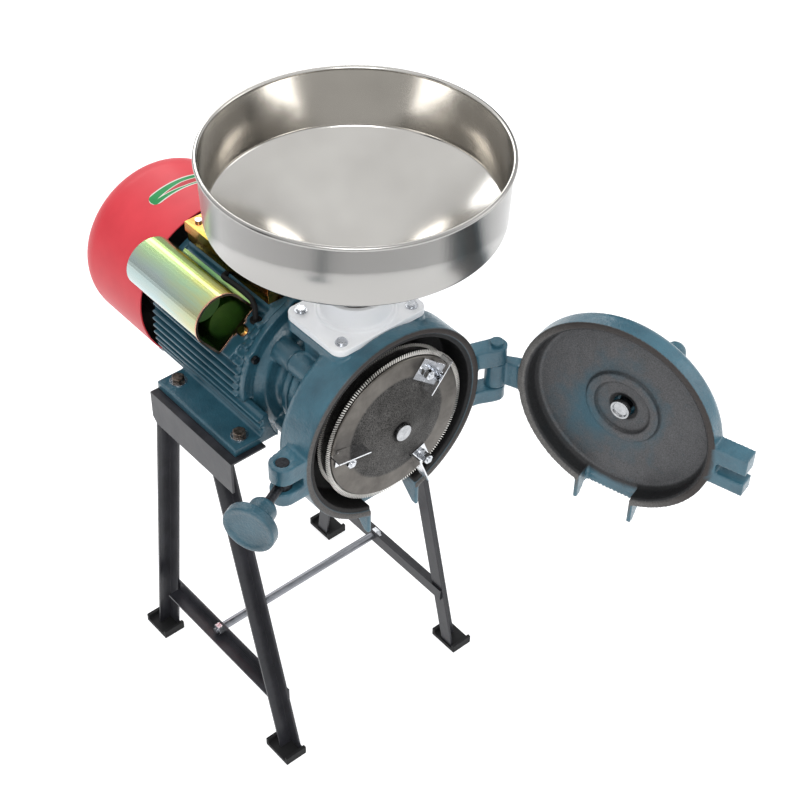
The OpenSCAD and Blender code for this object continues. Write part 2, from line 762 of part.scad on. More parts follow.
module terminal_cover() color("#c8b860") place() {
    top = term_top + cover_h;
    difference() {
        block(-term_x - sheet_t - 0.2, term_x + sheet_t + 0.2, term_y - sheet_t - 0.2,
            term_y + term_len + sheet_t + 0.2, term_top - 4, top);
        block(-term_x - 0.2, term_x + 0.2, term_y - 0.2, term_y + term_len + 0.2,
            term_top - 5, top - sheet_t);
        for (x = [-1, 1], y = term_screw_y) translate([x * term_screw_x, y, term_top])
            cylinder(h = 20, r = 2.2, $fn = small);
        switch_hole(top);
    }
    for (x = [-1, 1], y = term_screw_y) translate([x * term_screw_x, y, term_top]) difference() {
        cylinder(h = cover_h - sheet_t, r = 5, $fn = small);
        translate([0, 0, -1]) cylinder(h = 20, r = 2.2, $fn = small);
    }
}

switch_pos = [16, term_y + term_len - 32];
switch_size = [27, 19];

module switch_hole(z) translate([switch_pos[0], switch_pos[1], z])
    cube([switch_size[0], switch_size[1], 20], center = true);

module terminal_screws() color("#c4c6c8") place() for (x = [-1, 1], y = term_screw_y)
    translate([x * term_screw_x, y, term_top + cover_h]) {
        cylinder(h = 2.6, r = 4, $fn = small);
        translate([0, 0, -18]) cylinder(h = 18.5, r = 2, $fn = small);
    }

module power_switch() color("#1a1a1c") place() translate([switch_pos[0], switch_pos[1], 0]) {
    top = term_top + cover_h;
    sx = switch_size[0] - 0.4;
    sy = switch_size[1] - 0.4;
    difference() {
        union() {
            translate([0, 0, top - 7.5]) linear_extrude(10) square([sx, sy], center = true);
            translate([0, 0, top]) linear_extrude(2.5) square([sx + 5, sy + 5], center = true);
        }
        translate([0, 0, top - 5.5]) linear_extrude(20) square([sx - 5, sy - 5], center = true);
    }
}

rocker_z = term_top + cover_h + 1;

module switch_rocker() color("#b8262a") place() translate([switch_pos[0], switch_pos[1], rocker_z]) {
    half = (switch_size[0] - 5.4) / 2 - 0.9;
    depth = switch_size[1] - 5.4 - 0.8;
    rotate([90, 0, 0]) translate([0, 0, -depth / 2]) linear_extrude(depth) rotate([0, 0, 10])
        polygon([[-half, 0.8], [-half, 3.4], [0, 1.6], [half, 3.4], [half, 0.8], [2.6, -2.4], [-2.6, -2.4]]);
}

gland_r = 4.5;
gland_y = term_y + 100;
gland_z = term_z + 6;

module cable_gland() color("#1a1a1c") place() difference() {
    union() {
        rod_x(gland_r - 0.05, term_x - 4, 5, gland_y, gland_z);
        translate([term_x, gland_y, gland_z]) rotate([0, 90, 0]) rotate([0, 0, 30]) hex_head(11, 6);
        rod_x(4.8, term_x + 5, 10, gland_y, gland_z);
    }
    rod_x(3, term_x - 6, 30, gland_y, gland_z);
}

cap_base = cap_stand - sheet_t;
ear_u = 4;
ear_out = 7;

module cap_outline(inset) {
    r = cap_w / 2 - inset;
    low = max(inset, 0);
    polygon(concat([[-r, low], [r, low]], arc(0, cap_wall, r, 0, 180, 24)));
}

module capacitor_cover() color("#c8b860") place() at_capacitor() {
    translate([-cap_shift, 0, cap_base]) {
        difference() {
            union() {
                slab_y(cap_y, cap_len) cap_outline(0);
                slab_y(cap_y, sheet_t) cap_outline(-cap_lip);
            }
            slab_y(cap_y - 1, cap_len + 1 - sheet_t) cap_outline(sheet_t);
        }
        block(cap_w / 2 - eps, cap_w / 2 + cap_flange, cap_y, cap_y + cap_len, 0, sheet_t);
        difference() {
            union() {
                block(ear_u - 10, ear_u + 10, cap_y - 2, cap_y + 1, 0, sheet_t);
                block(ear_u - 6, ear_u + 6, cap_y - ear_out, cap_y, 0, sheet_t);
                translate([ear_u, cap_y - ear_out, 0]) cylinder(h = sheet_t, r = 6, $fn = small);
            }
            translate([ear_u, cap_y - ear_out, -1]) cylinder(h = 5, r = 2.7, $fn = small);
        }
    }
}

module run_capacitor() color("#3a3c40") place() at_capacitor()
    rod_y(cap_r, cap_y + run_cap_in, run_cap_len, -cap_shift, cap_base + sheet_t + cap_r, 64);

module capacitor_screw() color("#c8b860") place() at_capacitor()
    translate([ear_u - cap_shift, cap_y - ear_out, cap_stand]) {
        cylinder(h = 3, r = 4.5, $fn = small);
        translate([0, 0, -sheet_t - 8]) cylinder(h = sheet_t + 9, r = 2.5, $fn = small);
    }

// The lead leaves the terminal box, runs forward and turns down into the housing.
lead_out = [-term_x, housing_y + 84, 83];
lead_in = [-56.6, housing_y + 16, 69];
grommet_r = 5;
lead_path = [
    [-39.5, 84, 83], [-44, 84, 83], [-47, 83.2, 83.3], [-49.6, 80.6, 84.2], [-50.8, 76, 85.4],
    [-51, 68, 86.8], [-51.3, 59, 88.2], [-51.8, 50, 89.4], [-52.2, 42, 89.9], [-52.6, 34.5, 89.8],
    [-52.8, 27.2, 89], [-54, 20.8, 84.9], [-55.8, 17.4, 78.5], [-56.6, 16, 73], [-56.6, 16, 70],
    [-56.6, 16, 62]
];
lead_points = [for (p = lead_path) [p[0], housing_y + p[1], p[2]]];
lead_sides = 10;
lead_ref = [1, 1, -1];

function unit(v) = v / norm(v);
function tangent(p, i) = unit(p[min(i + 1, len(p) - 1)] - p[max(i - 1, 0)]);
function ring_points(p, i, r) = let (
    t = tangent(p, i),
    s = unit(cross(t, lead_ref)),
    u = cross(s, t)
) [for (k = [0:lead_sides - 1]) p[i] + r * (cos(360 * k / lead_sides) * s + sin(360 * k / lead_sides) * u)];

module motor_lead() color("#18181a") place() {
    n = len(lead_points);
    m = lead_sides;
    polyhedron(
        points = [for (i = [0:n - 1]) each ring_points(lead_points, i, lead_d / 2)],
        faces = concat(
            [[for (k = [0:m - 1]) k]],
            [for (i = [0:n - 2], k = [0:m - 1])
                [i * m + k, (i + 1) * m + k, (i + 1) * m + (k + 1) % m, i * m + (k + 1) % m]],
            [[for (k = [0:m - 1]) (n - 1) * m + m - 1 - k]]
        )
    );
}

module lead_grommet() color("#18181a") place() translate(lead_in) difference() {
    union() {
        translate([0, 0, -8]) cylinder(h = 8, r = grommet_r, $fn = small);
        cylinder(h = 2.5, r = grommet_r + 1.2, $fn = small);
    }
    translate([0, 0, -9]) cylinder(h = 20, r = lead_d / 2 + 0.5, $fn = small);
}

// ---- mill body ----

chamber_back = chamber_d;
drum_end = chamber_d + drum_back;
fixed_y = disc_t + disc_gap - 1;
seal_y = joint_y - 10;

module platform() intersection() {
    translate([0, hopper_y, 0]) round_plate(seat_x, seat_y, seat_round, platform_z);
    slab_y(0, 2 * hopper_y) polygon([
        [-seat_x, platform_z], [seat_x, platform_z], [seat_x, platform_z - 12],
        [seat_x - 14, platform_z - 30], [seat_x - 18, 30], [18 - seat_x, 30],
        [14 - seat_x, platform_z - 30], [-seat_x, platform_z - 12]
    ]);
    slab_x(-seat_x, 2 * seat_x) polygon([
        [0, 0], [0, platform_z], [2 * hopper_y, platform_z], [2 * hopper_y, platform_z - 10],
        [joint_y - 4, platform_z - 28], [joint_y - 4, 0]
    ]);
}

ear_top = joint_z + knuckle_h / 2 + face_gap;
ear_low = joint_z - knuckle_h / 2 - face_gap;

// The ear that carries the hinge pin, seen from above.
module ear_plan() {
    difference() {
        union() {
            polygon([
                [drum_r - 19, 6], [drum_r + 3, 0.4], [hinge_x - 6, hinge_y - knuckle_r + 1.2],
                [hinge_x, hinge_y + knuckle_r], [drum_r - 9, 26], [drum_r - 25, 26]
            ]);
            translate([hinge_x, hinge_y]) circle(r = knuckle_r, $fn = 64);
        }
        translate([hinge_x, hinge_y]) circle(r = hinge_pin_r + seat_gap / 2, $fn = 64);
    }
}

slot_z0 = joint_z - slot_h / 2;
slot_z1 = joint_z + slot_h / 2;

module clevis_plan() {
    polygon([
        [19 - drum_r, 8], [9 - drum_r, 0.4], [-pivot_x, pivot_y - pivot_ear_r],
        [-pivot_x, pivot_y + pivot_ear_r], [11 - drum_r, 34], [25 - drum_r, 34]
    ]);
    translate([-pivot_x, pivot_y]) circle(r = pivot_ear_r, $fn = 64);
}

module clevis() difference() {
    translate([0, 0, slot_z0 - lug_low]) linear_extrude(lug_low + slot_h + lug_top) clevis_plan();
    block(-2 * drum_r, -drum_r - 3, -10, 60, slot_z0, slot_z1);
    translate([-pivot_x, pivot_y, slot_z0 - lug_low - 1])
        cylinder(h = 60, r = pivot_pin_r + seat_gap / 2, $fn = 48);
    translate([-pivot_x, pivot_y, slot_z1 + lug_top - 3]) cylinder(h = 5, r = 7.2, $fn = 48);
}

module body_spout() {
    both_sides() slab_x(-spout_x - spout_t, spout_t) polygon([
        [0.3, 23 - drum_r], [0.3, -spout_z], [7, -spout_z], [26, 20 - spout_z], [34, 15 - drum_r],
        [34, 25 - drum_r]
    ]);
    slab_x(-spout_x - eps, 2 * (spout_x + eps)) polygon([
        [7, 2 - spout_z], [11.5, 2 - spout_z], [31, 20 - spout_z], [38, 15 - drum_r],
        [33, 17 - drum_r], [26.5, 22 - spout_z]
    ]);
}

module mill_body() color("#3c6b7a") place() difference() {
    union() {
        turned(concat(
            [[0, 0], [drum_r, 0], [drum_r, drum_end - 12]],
            arc(drum_r - 12, drum_end - 12, 12, 0, 90, 10),
            [[neck_r + 6, drum_end + 1]],
            arc(neck_r + 8, drum_end + 9, 8, 270, 180, 6),
            [[neck_r, joint_y - 12], [64, joint_y - 9], [64, joint_y], [0, joint_y]]
        ));
        lug_cylinders(lug_r, drum_end - 2, joint_y - drum_end + 2);
        platform();
        translate([0, 0, ear_top]) linear_extrude(upper_ear_h) ear_plan();
        translate([0, 0, ear_low - lower_ear_h]) linear_extrude(lower_ear_h) ear_plan();
        clevis();
        body_spout();
    }
    // the chamber, with a rabbet at its mouth and an annular seat for the fixed disc
    turned([
        [0, -1], [drum_r - 6, -1], [drum_r - 6, 2.5], [chamber_r, 2.5], [chamber_r, chamber_back],
        [72, chamber_back], [72, fixed_y + fixed_t], [0, fixed_y + fixed_t]
    ]);
    // the feed cavity and the shaft's wall
    turned([[0, fixed_y], [cavity_r, fixed_y], [cavity_r, seal_y - 2], [0, seal_y - 2]]);
    rod_y(20, seal_y, 12);
    rod_y(shaft_r + 1.5, seal_y - 4, 12);
    translate([0, hopper_y, 20]) cylinder(h = 120, r = throat_r, $fn = fine);
    lug_cylinders(body_bolt_r + 0.5, drum_end - 4, 60);
    lug_cylinders(11, drum_end - 4, joint_y - 16 - drum_end + 4);
    for (x = [-1, 1], y = seat_screw_y) translate([x * seat_screw_x, y, platform_z - 14])
        cylinder(h = 20, r = 2.55, $fn = small);
    for (a = [90, 210, 330]) rotate([0, a, 0]) rod_y(2.55, fixed_y, 26, 60, 0, small);
    block(-spout_x, spout_x, -1, 26, -spout_z - 1, 35 - drum_r);
    // the flat on top of the drum, behind which the feed seat stands
    block(-seat_x - 1, seat_x + 1, hopper_y - seat_y - 0.5, 2 * hopper_y, platform_z, drum_r + 5);
}

module body_bolts() color("#c4c6c8") place() for (x = [-1, 1], z = [-1, 1])
    translate([x * lug_xz, joint_y - 16, z * lug_xz]) rotate([-90, 0, 0]) {
        translate([0, 0, -1.6]) cylinder(h = 1.6, r = 9.8, $fn = small);
        translate([0, 0, -1.6 - head_h]) hex_head(2 * body_bolt_r + 6, head_h);
        cylinder(h = 34, r = body_bolt_r, $fn = small);
    }

module shaft_seal() color("#18181a") place() turned([
    [shaft_r + run_gap, seal_y], [20 - seat_gap / 2, seal_y], [20 - seat_gap / 2, seal_y + 8],
    [shaft_r + run_gap, seal_y + 8]
]);

// ---- grinding discs, on the shaft ----

module fixed_disc() color("#4a4744") place() difference() {
    turned([
        [30, fixed_y + 1.5], [34, fixed_y], [disc_r - 2, fixed_y], [disc_r, fixed_y + 2],
        [disc_r, fixed_y + fixed_t], [30, fixed_y + fixed_t]
    ]);
    for (a = [90, 210, 330]) rotate([0, a, 0]) {
        rod_y(2.7, fixed_y - 1, fixed_t + 2, 60, 0, small);
        rod_y(5.2, fixed_y - 1, 4, 60, 0, small);
    }
}

module fixed_disc_screws() color("#8f9296") place() for (a = [90, 210, 330]) rotate([0, a, 0]) {
    rod_y(5, fixed_y + 0.4, 2.6, 60, 0, small);
    rod_y(2.5, fixed_y + 2, 20, 60, 0, small);
}

hub_back = disc_t - 1 + disc_gap + 6;

module turning_disc() color("#5a5652") place() difference() {
    turned([
        [0, -1 - dome_h], [cap_nut_r + 5, -1 - dome_h], [hub_r + 3, -dome_h + 1], [36, -5], [60, -1.6],
        [disc_r - 1, -1], [disc_r, 0], [disc_r, disc_t - 3], [disc_r - 2, disc_t - 1],
        [hub_r + 3, disc_t - 1], [hub_r, disc_t + 2], [hub_r, hub_back], [0, hub_back]
    ]);
    rod_y(shaft_r + run_gap, shaft_y - float_travel - 0.6, 60);
    block(-key_w / 2 - 0.1, key_w / 2 + 0.1, shaft_y - float_travel - 0.6, hub_back + 1,
        0, shaft_r + key_w / 2 + 0.3);
    rod_y(cap_nut_r + 2.5, -2 - dome_h, 2.2);
    rod_y(3.05, -2 - dome_h, 12, 0, 0, small);
    for (k = [0:2]) rotate([0, -blade_a - 120 * k, 0]) {
        block(blade_stud_r - foot_half - 1, blade_stud_r + foot_half + 1, -6, -1.6, -0.2, blade_w + 0.5);
        rod_y(stud_r + 0.05, -3, 9, blade_stud_r, stud_z, small);
    }
}

foot_half = 12;
stud_r = 3;
stud_z = 12.5;

// A folded plate: a foot on the disc and a radial wall that stands out of it.
module sweeper_blades() color("#d8dadc") place() for (k = [0:2]) rotate([0, -blade_a - 120 * k, 0]) {
    difference() {
        union() {
            block(blade_stud_r - foot_half, blade_stud_r + foot_half, -3.1, -1.6, 0, blade_w);
            block(blade_r0, blade_r1, -1.6 - blade_h, -5.2, 0, 1.5);
            block(blade_stud_r - foot_half, blade_stud_r + foot_half, -6, -1.6, 0, 1.5);
        }
        rod_y(stud_r + 0.2, -6, 8, blade_stud_r, stud_z, small);
    }
}

// A stud in the disc, with a washer and two thin nuts locked against each other.
module blade_screws() color("#c4c6c8") place() for (k = [0:2]) rotate([0, -blade_a - 120 * k, 0])
    translate([blade_stud_r, 0, stud_z]) {
        rod_y(stud_r, -16.2, 21.5, 0, 0, small);
        rod_y(6, -4.3, 1.1, 0, 0, small);
        for (y = [-4.4, -9.6]) translate([0, y, 0]) rotate([90, 0, 0]) hex_head(10, 5);
    }

module thrust_cap() color("#a8aaac") place() {
    rod_y(cap_nut_r, 0.2 - dome_h - cap_nut_h, cap_nut_h, 0, 0, 64);
    rod_y(3, 0.1 - dome_h, 4.5, 0, 0, small);
}

key_w = 6;
key_y = shaft_y + 2;
key_len = 24;

module drive_key() color("#8f9296") place()
    block(-key_w / 2 + 0.02, key_w / 2 - 0.02, key_y + 0.1, key_y + key_len - 0.1,
        shaft_r - key_w / 2 + 0.02, shaft_r + key_w / 2);

spring_y = hub_back + 0.2;
auger_y = hub_back + 16;
spring_turns = 2.5;
wire_r = 1.4;
spring_steps = 18;

spring_r = hub_r - wire_r - 1;
spring_n = floor(spring_turns * spring_steps);
spring_rise = auger_y - spring_y - 2 * wire_r - 0.4;
spring_sides = 6;

function coil(i) = let (a = 360 * i / spring_steps)
    [spring_r * cos(a), spring_y + wire_r + 0.1 + spring_rise * i / spring_n, spring_r * sin(a)];
function coil_ring(i) = let (a = 360 * i / spring_steps)
    [for (k = [0:spring_sides - 1]) let (b = 360 * k / spring_sides)
        coil(i) + wire_r * [cos(b) * cos(a), sin(b), cos(b) * sin(a)]];

module float_spring() color("#8f9296") place() {
    n = spring_n;
    m = spring_sides;
    polyhedron(
        points = [for (i = [0:n]) each coil_ring(i)],
        faces = concat(
            [[for (k = [0:m - 1]) m - 1 - k]],
            [for (i = [0:n - 1], k = [0:m - 1])
                [i * m + k, i * m + (k + 1) % m, (i + 1) * m + (k + 1) % m, (i + 1) * m + k]],
            [[for (k = [0:m - 1]) n * m + k]]
        )
    );
}

auger_len = seal_y - 6 - auger_y;

module feed_auger() color("#7b7e82") place() difference() {
    union() {
        rod_y(hub_r - 2, auger_y, auger_len);
        rotate([-90, 0, 0]) translate([0, 0, auger_y]) linear_extrude(auger_len, twist = 360, $fn = 40)
            for (s = [0, 180]) rotate([0, 0, s]) translate([0, -2.5]) square([cavity_r - 4, 5]);
    }
    rod_y(shaft_r + seat_gap / 2, auger_y - 1, auger_len + 2);
}

// ---- feed seat and hopper ----

seat_screw_x = seat_x - 13;
seat_screw_y = [hopper_y - seat_y + 12, hopper_y + seat_y - 12];

module feed_seat() color("#e4e5e8") place() translate([0, hopper_y, 0]) difference() {
    union() {
        translate([0, 0, platform_z]) round_plate(seat_x, seat_y, seat_round, seat_t);
        translate([0, 0, seat_top]) cylinder(h = collar_h, r = hopper_neck_r + 5, $fn = fine);
        translate([0, 0, seat_top]) cylinder(h = 3, r = hopper_neck_r + 9, $fn = fine);
    }
    translate([0, 0, platform_z - 1]) cylinder(h = 60, r = throat_r, $fn = fine);
    translate([0, 0, seat_top]) cylinder(h = 60, r = hopper_neck_r + seat_gap, $fn = fine);
    for (x = [-1, 1], y = seat_screw_y) translate([x * seat_screw_x, y - hopper_y, platform_z - 1])
        cylinder(h = 20, r = 2.8, $fn = small);
}

module feed_seat_screws() color("#c4c6c8") place() for (x = [-1, 1], y = seat_screw_y)
    translate([x * seat_screw_x, y, seat_top]) {
        cylinder(h = 1, r = 6.5, $fn = small);
        translate([0, 0, 1]) cylinder(h = 3, r = 4.8, $fn = small);
        translate([0, 0, -seat_t - 10]) cylinder(h = seat_t + 11, r = 2.5, $fn = small);
    }

// The sheet's outline goes up the outside and back down the inside.
module hopper() color("#c9cbce") place() translate([0, hopper_y, 0]) rotate_extrude($fn = fine) {
    t = hopper_t;
    wall_z = hopper_z - hopper_wall;
    bead_z = hopper_z - bead_r;
    polygon(concat(
        [
            [hopper_neck_r, seat_top], [hopper_neck_r, hopper_neck_z], [hopper_low_r - 4, wall_z - 2],
            [hopper_low_r, wall_z + 2]
        ],
        [[hopper_r - bead_r, bead_z - bead_r]],
        arc(hopper_r - bead_r, bead_z, bead_r, -90, 90, 10),
        [
            [hopper_r - bead_r - t, hopper_z], [hopper_r - bead_r - t, bead_z - bead_r],
            [hopper_low_r - t, wall_z + 2], [hopper_low_r - 4 - t, wall_z - 2 + t],
            [hopper_neck_r - t, hopper_neck_z + t], [hopper_neck_r - t, seat_top]
        ]
    ));
}

// ---- hinge and lid, drawn shut and then swung open about the hinge pin ----

module hinge_pin() color("#3c6b7a") place() translate([hinge_x, hinge_y, 0]) {
    top = ear_top + upper_ear_h;
    low = ear_low - lower_ear_h;
    translate([0, 0, low - 2]) cylinder(h = top - low + 3, r = hinge_pin_r, $fn = 64);
    translate([0, 0, top]) cylinder(h = 4, r = hinge_pin_r + 2, $fn = 64);
}

module at_lid() place() translate([hinge_x, hinge_y, 0]) rotate([0, 0, lid_open])
    translate([-hinge_x, -hinge_y, 0]) children();

// the tip that presses on the thrust cap, and the recess that it draws back into
cap_front = 0.2 - dome_h - cap_nut_h;
tip_front = cap_front - tip_gap;
tip_len = 7;
recess_end = tip_front - tip_len - adjust_travel - 0.8;

// The lid's outer form as [radius, y], with its outside facing -Y.
module lid_outside() turned(concat(
    [[0, -lid_y], [drum_r, -lid_y], [drum_r, -lid_d + 10]],
    arc(drum_r - 14, -lid_d + 10, 14, 0, -60, 8),
    [[drum_r - 30, -lid_d - 4], [boss_r + 14, -lid_d - 5], [boss_r, -lid_d - 9]],
    [[boss_r, -lid_d - boss_h], [0, -lid_d - boss_h]]
));

module lid_inside() turned([
    [0, 1], [drum_r - 7, 1], [drum_r - 7, -2.5], [lid_inner_r, -2.5], [lid_inner_r - 1, -lid_hollow + 5],
    [lid_inner_r - 6, -lid_hollow], [0, -lid_hollow]
]);

// The spout's front half: two cheeks with an outward flange and a sloping apron.
module lid_spout() {
    both_sides() slab_x(-spout_x - spout_t, spout_t) polygon([
        [-0.3, 25 - drum_r], [-0.3, -spout_z], [-7, -spout_z], [-20, 18 - spout_z],
        [-lid_d, 15 - drum_r], [-lid_d, 25 - drum_r]
    ]);
    slab_x(-spout_x - eps, 2 * (spout_x + eps)) polygon([
        [-7, 2 - spout_z], [-11.5, 2 - spout_z], [-25, 20 - spout_z], [-lid_d - 3, 17 - drum_r],
        [1.5 - lid_d, 17 - drum_r], [-20.5, 22 - spout_z]
    ]);
}

module lid_ribs() for (a = [20:40:340]) rotate([0, a, 0])
    slab_x(boss_r - 2, drum_r - 30 - boss_r) translate([0, -2.2])
        polygon([[-lid_d, 0], [-lid_d - 8.2, 0], [-lid_d - 8.2, 4.4], [-lid_d, 4.4]]);

module lid_lug() difference() {
    block(-lug_x, 11 - drum_r, -lug_d, -lid_y, slot_z0 - lug_low, slot_z1 + lug_top);
    block(-lug_x - 1, -drum_r - 3, -lug_d - 1, 0, slot_z0, slot_z1);
}

// The lid's hinge arm, seen from above.
module lid_arm_plan() difference() {
    union() {
        polygon([
            [drum_r - 11, -1], [drum_r + 3, -1], [hinge_x - knuckle_r + 1, hinge_y - 2],
            [hinge_x, hinge_y - knuckle_r], [drum_r + 3, -18], [drum_r - 11, -20]
        ]);
        translate([hinge_x, hinge_y]) circle(r = knuckle_r, $fn = 64);
    }
    translate([hinge_x, hinge_y]) circle(r = hinge_pin_r + run_gap, $fn = 64);
}

module lid() color("#3c6b7a") at_lid() difference() {
    union() {
        difference() {
            union() {
                lid_outside();
                lid_ribs();
                lid_lug();
                lid_spout();
                translate([0, 0, joint_z - knuckle_h / 2]) linear_extrude(knuckle_h) lid_arm_plan();
            }
            lid_inside();
            block(-spout_x, spout_x, 6 - lid_d, 1, -spout_z - 1, 25 - drum_r);
        }
        turned([
            [ring_r0, -lid_hollow - 1], [ring_r1, -lid_hollow - 1], [ring_r1, -lid_hollow + ring_h],
            [ring_r0, -lid_hollow + ring_h]
        ]);
    }
    turned([
        [0, -lid_hollow + 1], [recess_r + 5, -lid_hollow + 1], [recess_r + 5, -lid_hollow - 1.2],
        [recess_r, -lid_hollow - 1.2], [recess_r, recess_end], [0, recess_end]
    ]);
    rod_y(screw_r + run_gap, -lid_d - boss_h - 1, boss_h + 10);
}

module thrust_tip() color("#c4c6c8") at_lid() turned([
    [0, tip_front - 2], [tip_r - 3, tip_front - 2], [tip_r - 2, tip_front], [tip_r, tip_front],
    [tip_r, tip_front - tip_len + 2], [tip_r - 2, tip_front - tip_len], [0, tip_front - tip_len]
], 64);

module adjust_screw() color("#2c2e30") at_lid()
    rod_y(screw_r, -screw_end_d, screw_end_d + tip_front - tip_len - 0.1, 0, 0, 64);

module lock_nut() color("#8f9296") at_lid() translate([0, -lid_d - boss_h - 0.1, 0]) rotate([90, 0, 0])
    difference() {
        hex_head(26, 10);
        translate([0, 0, -1]) cylinder(h = 12, r = screw_r + run_gap, $fn = 64);
    }

module adjust_handle() color("#24455a") at_lid() rotate([0, handle_turn, 0]) difference() {
    union() {
        rod_y(16, -handle_d - 12, 22, 0, 0, 64);
        rod_y(13, -handle_d - 15, 4, 0, 0, 64);
        translate([0, -handle_d, -handle_reach]) cylinder(h = 2 * handle_reach, r = 7, $fn = 48);
        for (s = [-1, 1]) translate([0, -handle_d, s * handle_reach]) sphere(r = handle_end_r, $fn = 48);
    }
    rod_y(screw_r + 0.02, -screw_end_d - 1, 60, 0, 0, 64);
}

// ---- swing-bolt lock, drawn along +X from its pin and then turned ----

module at_bolt() place() translate([-pivot_x, pivot_y, joint_z]) rotate([0, 0, bolt_rest]) children();

shank_end = knob_end - 9;

module swing_bolt() color("#26282a") at_bolt() difference() {
    union() {
        translate([0, 0, -slot_h / 2 + face_gap]) cylinder(h = slot_h - 2 * face_gap, r = 9, $fn = 64);
        rod_x(swing_r, 0, shank_end, 0, 0, 64);
    }
    translate([0, 0, -slot_h]) cylinder(h = 2 * slot_h, r = pivot_pin_r + run_gap, $fn = 48);
}

module swing_pin() color("#3a3c3e") place() translate([-pivot_x, pivot_y, 0]) {
    low = slot_z0 - lug_low;
    top = slot_z1 + lug_top;
    translate([0, 0, low]) cylinder(h = top - low - 2.5, r = pivot_pin_r, $fn = 48);
    translate([0, 0, top - 3]) cylinder(h = 2.6, r = 7, $fn = 48);
}

module knob_washer() color("#26282a") at_bolt() difference() {
    rod_x(11, knob_start, washer_t, 0, 0, 48);
    rod_x(swing_r + run_gap, knob_start - 1, 4, 0, 0, 48);
}

knob_x = knob_start + washer_t;

module lock_knob() color("#4a7684") at_bolt() translate([knob_x, 0, 0]) rotate([0, 90, 0])
    rotate_extrude($fn = 72) polygon(concat(
        [[swing_r + run_gap, 0], [knob_neck_r - 2, 0], [knob_neck_r, 2], [knob_neck_r - 1, knob_neck - 3]],
        [[knob_neck_r + 1.5, knob_neck], [knob_r - 4, knob_neck + 1]],
        arc(knob_r - 4, knob_neck + 5, 4, -90, 60, 8),
        [[knob_r - 8, knob_neck + knob_t - 1], [0, knob_neck + knob_t], [0, knob_neck + knob_t - 4.5]],
        [[swing_r + run_gap, knob_neck + knob_t - 4.5]]
    ));

left_rail();
right_rail();
left_front_leg();
left_rear_leg();
right_front_leg();
right_rear_leg();
left_brace();
right_brace();
rubber_feet();
tie_rod();
tie_rod_nuts();
motor_foot_bolts();
motor_housing();
stator_core();
stator_windings();
rotor_core();
motor_shaft();
ball_bearings();
front_end_shield();
shield_screws();
rear_end_shield();
cooling_fan();
fan_cowl();
cowl_screws();
terminal_box();
terminal_cover();
terminal_screws();
capacitor_cover();
run_capacitor();
capacitor_screw();
motor_lead();
lead_grommet();
power_switch();
switch_rocker();
cable_gland();
mill_body();
body_bolts();
shaft_seal();
fixed_disc();
fixed_disc_screws();
turning_disc();
sweeper_blades();
blade_screws();
thrust_cap();
float_spring();
feed_auger();
drive_key();
feed_seat();
feed_seat_screws();
hopper();
hinge_pin();
lid();
thrust_tip();
adjust_screw();
adjust_handle();
lock_nut();
swing_bolt();
swing_pin();
knob_washer();
lock_knob();
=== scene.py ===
# %% [markdown]
# # An electric grain mill
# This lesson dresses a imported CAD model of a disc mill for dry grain. The castings, sheet pieces, bolts
# and discs are already the right size and in the right place. What they lack is what a real mill gets
# in a foundry, a press shop and a paint booth: rounded arrises, a grained skin under thick paint, spun
# and polished steel, iridescent zinc and ground iron. The CAD model is loaded first. It stays fixed,
# and everything else is made to fit it.

import json
import math

import bmesh
import bpy
import numpy as np
from mathutils import Matrix, Vector


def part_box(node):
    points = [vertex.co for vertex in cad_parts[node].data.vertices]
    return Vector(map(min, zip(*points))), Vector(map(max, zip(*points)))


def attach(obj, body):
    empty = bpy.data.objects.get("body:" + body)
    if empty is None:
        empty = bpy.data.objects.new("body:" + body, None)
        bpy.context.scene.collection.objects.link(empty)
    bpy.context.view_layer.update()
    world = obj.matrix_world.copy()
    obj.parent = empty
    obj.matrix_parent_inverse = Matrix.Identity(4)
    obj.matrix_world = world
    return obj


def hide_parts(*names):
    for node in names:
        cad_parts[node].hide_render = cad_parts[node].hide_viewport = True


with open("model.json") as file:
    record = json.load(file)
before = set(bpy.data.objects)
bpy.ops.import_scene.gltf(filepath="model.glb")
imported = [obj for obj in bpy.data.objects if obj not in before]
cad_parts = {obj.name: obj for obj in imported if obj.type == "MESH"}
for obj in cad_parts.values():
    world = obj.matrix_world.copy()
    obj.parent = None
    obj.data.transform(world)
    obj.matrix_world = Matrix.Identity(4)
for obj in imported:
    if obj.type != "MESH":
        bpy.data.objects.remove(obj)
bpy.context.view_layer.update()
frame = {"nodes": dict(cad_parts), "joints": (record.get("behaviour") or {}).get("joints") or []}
nodes = frame["nodes"]

# %% [markdown]
# Every size in this lesson is written in millimetres from one point: the place where the shaft's axis
# crosses the chamber's open face. X runs towards the hinge, Y back along the shaft and Z up. The point
# is measured from the CAD nodes, so it follows them if they change.

# %% The mill's own origin
hopper_low, hopper_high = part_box("hopper")
disc_low, disc_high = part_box("turning_disc")
pin_low, pin_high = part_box("hinge_pin")
hinge = (141.5, 2.5)  # the hinge pin's place, across and behind the open face
origin = Vector(((hopper_low.x + hopper_high.x) / 2, (pin_low.y + pin_high.y) / 2 - hinge[1] / 1000,
                 (disc_low.z + disc_high.z) / 2))


def at(x, y, z):
    """A point of the mill in metres, from millimetres measured at the shaft."""
    return origin + Vector((x, y, z)) / 1000


print("origin", [round(v, 4) for v in origin])

# %% [markdown]
# The camera comes first, because every later choice is judged through it. It looks down on the mill
# from its front left, at about 42 degrees both ways, through a long lens. A slight roll and a small
# lens shift finish the framing.

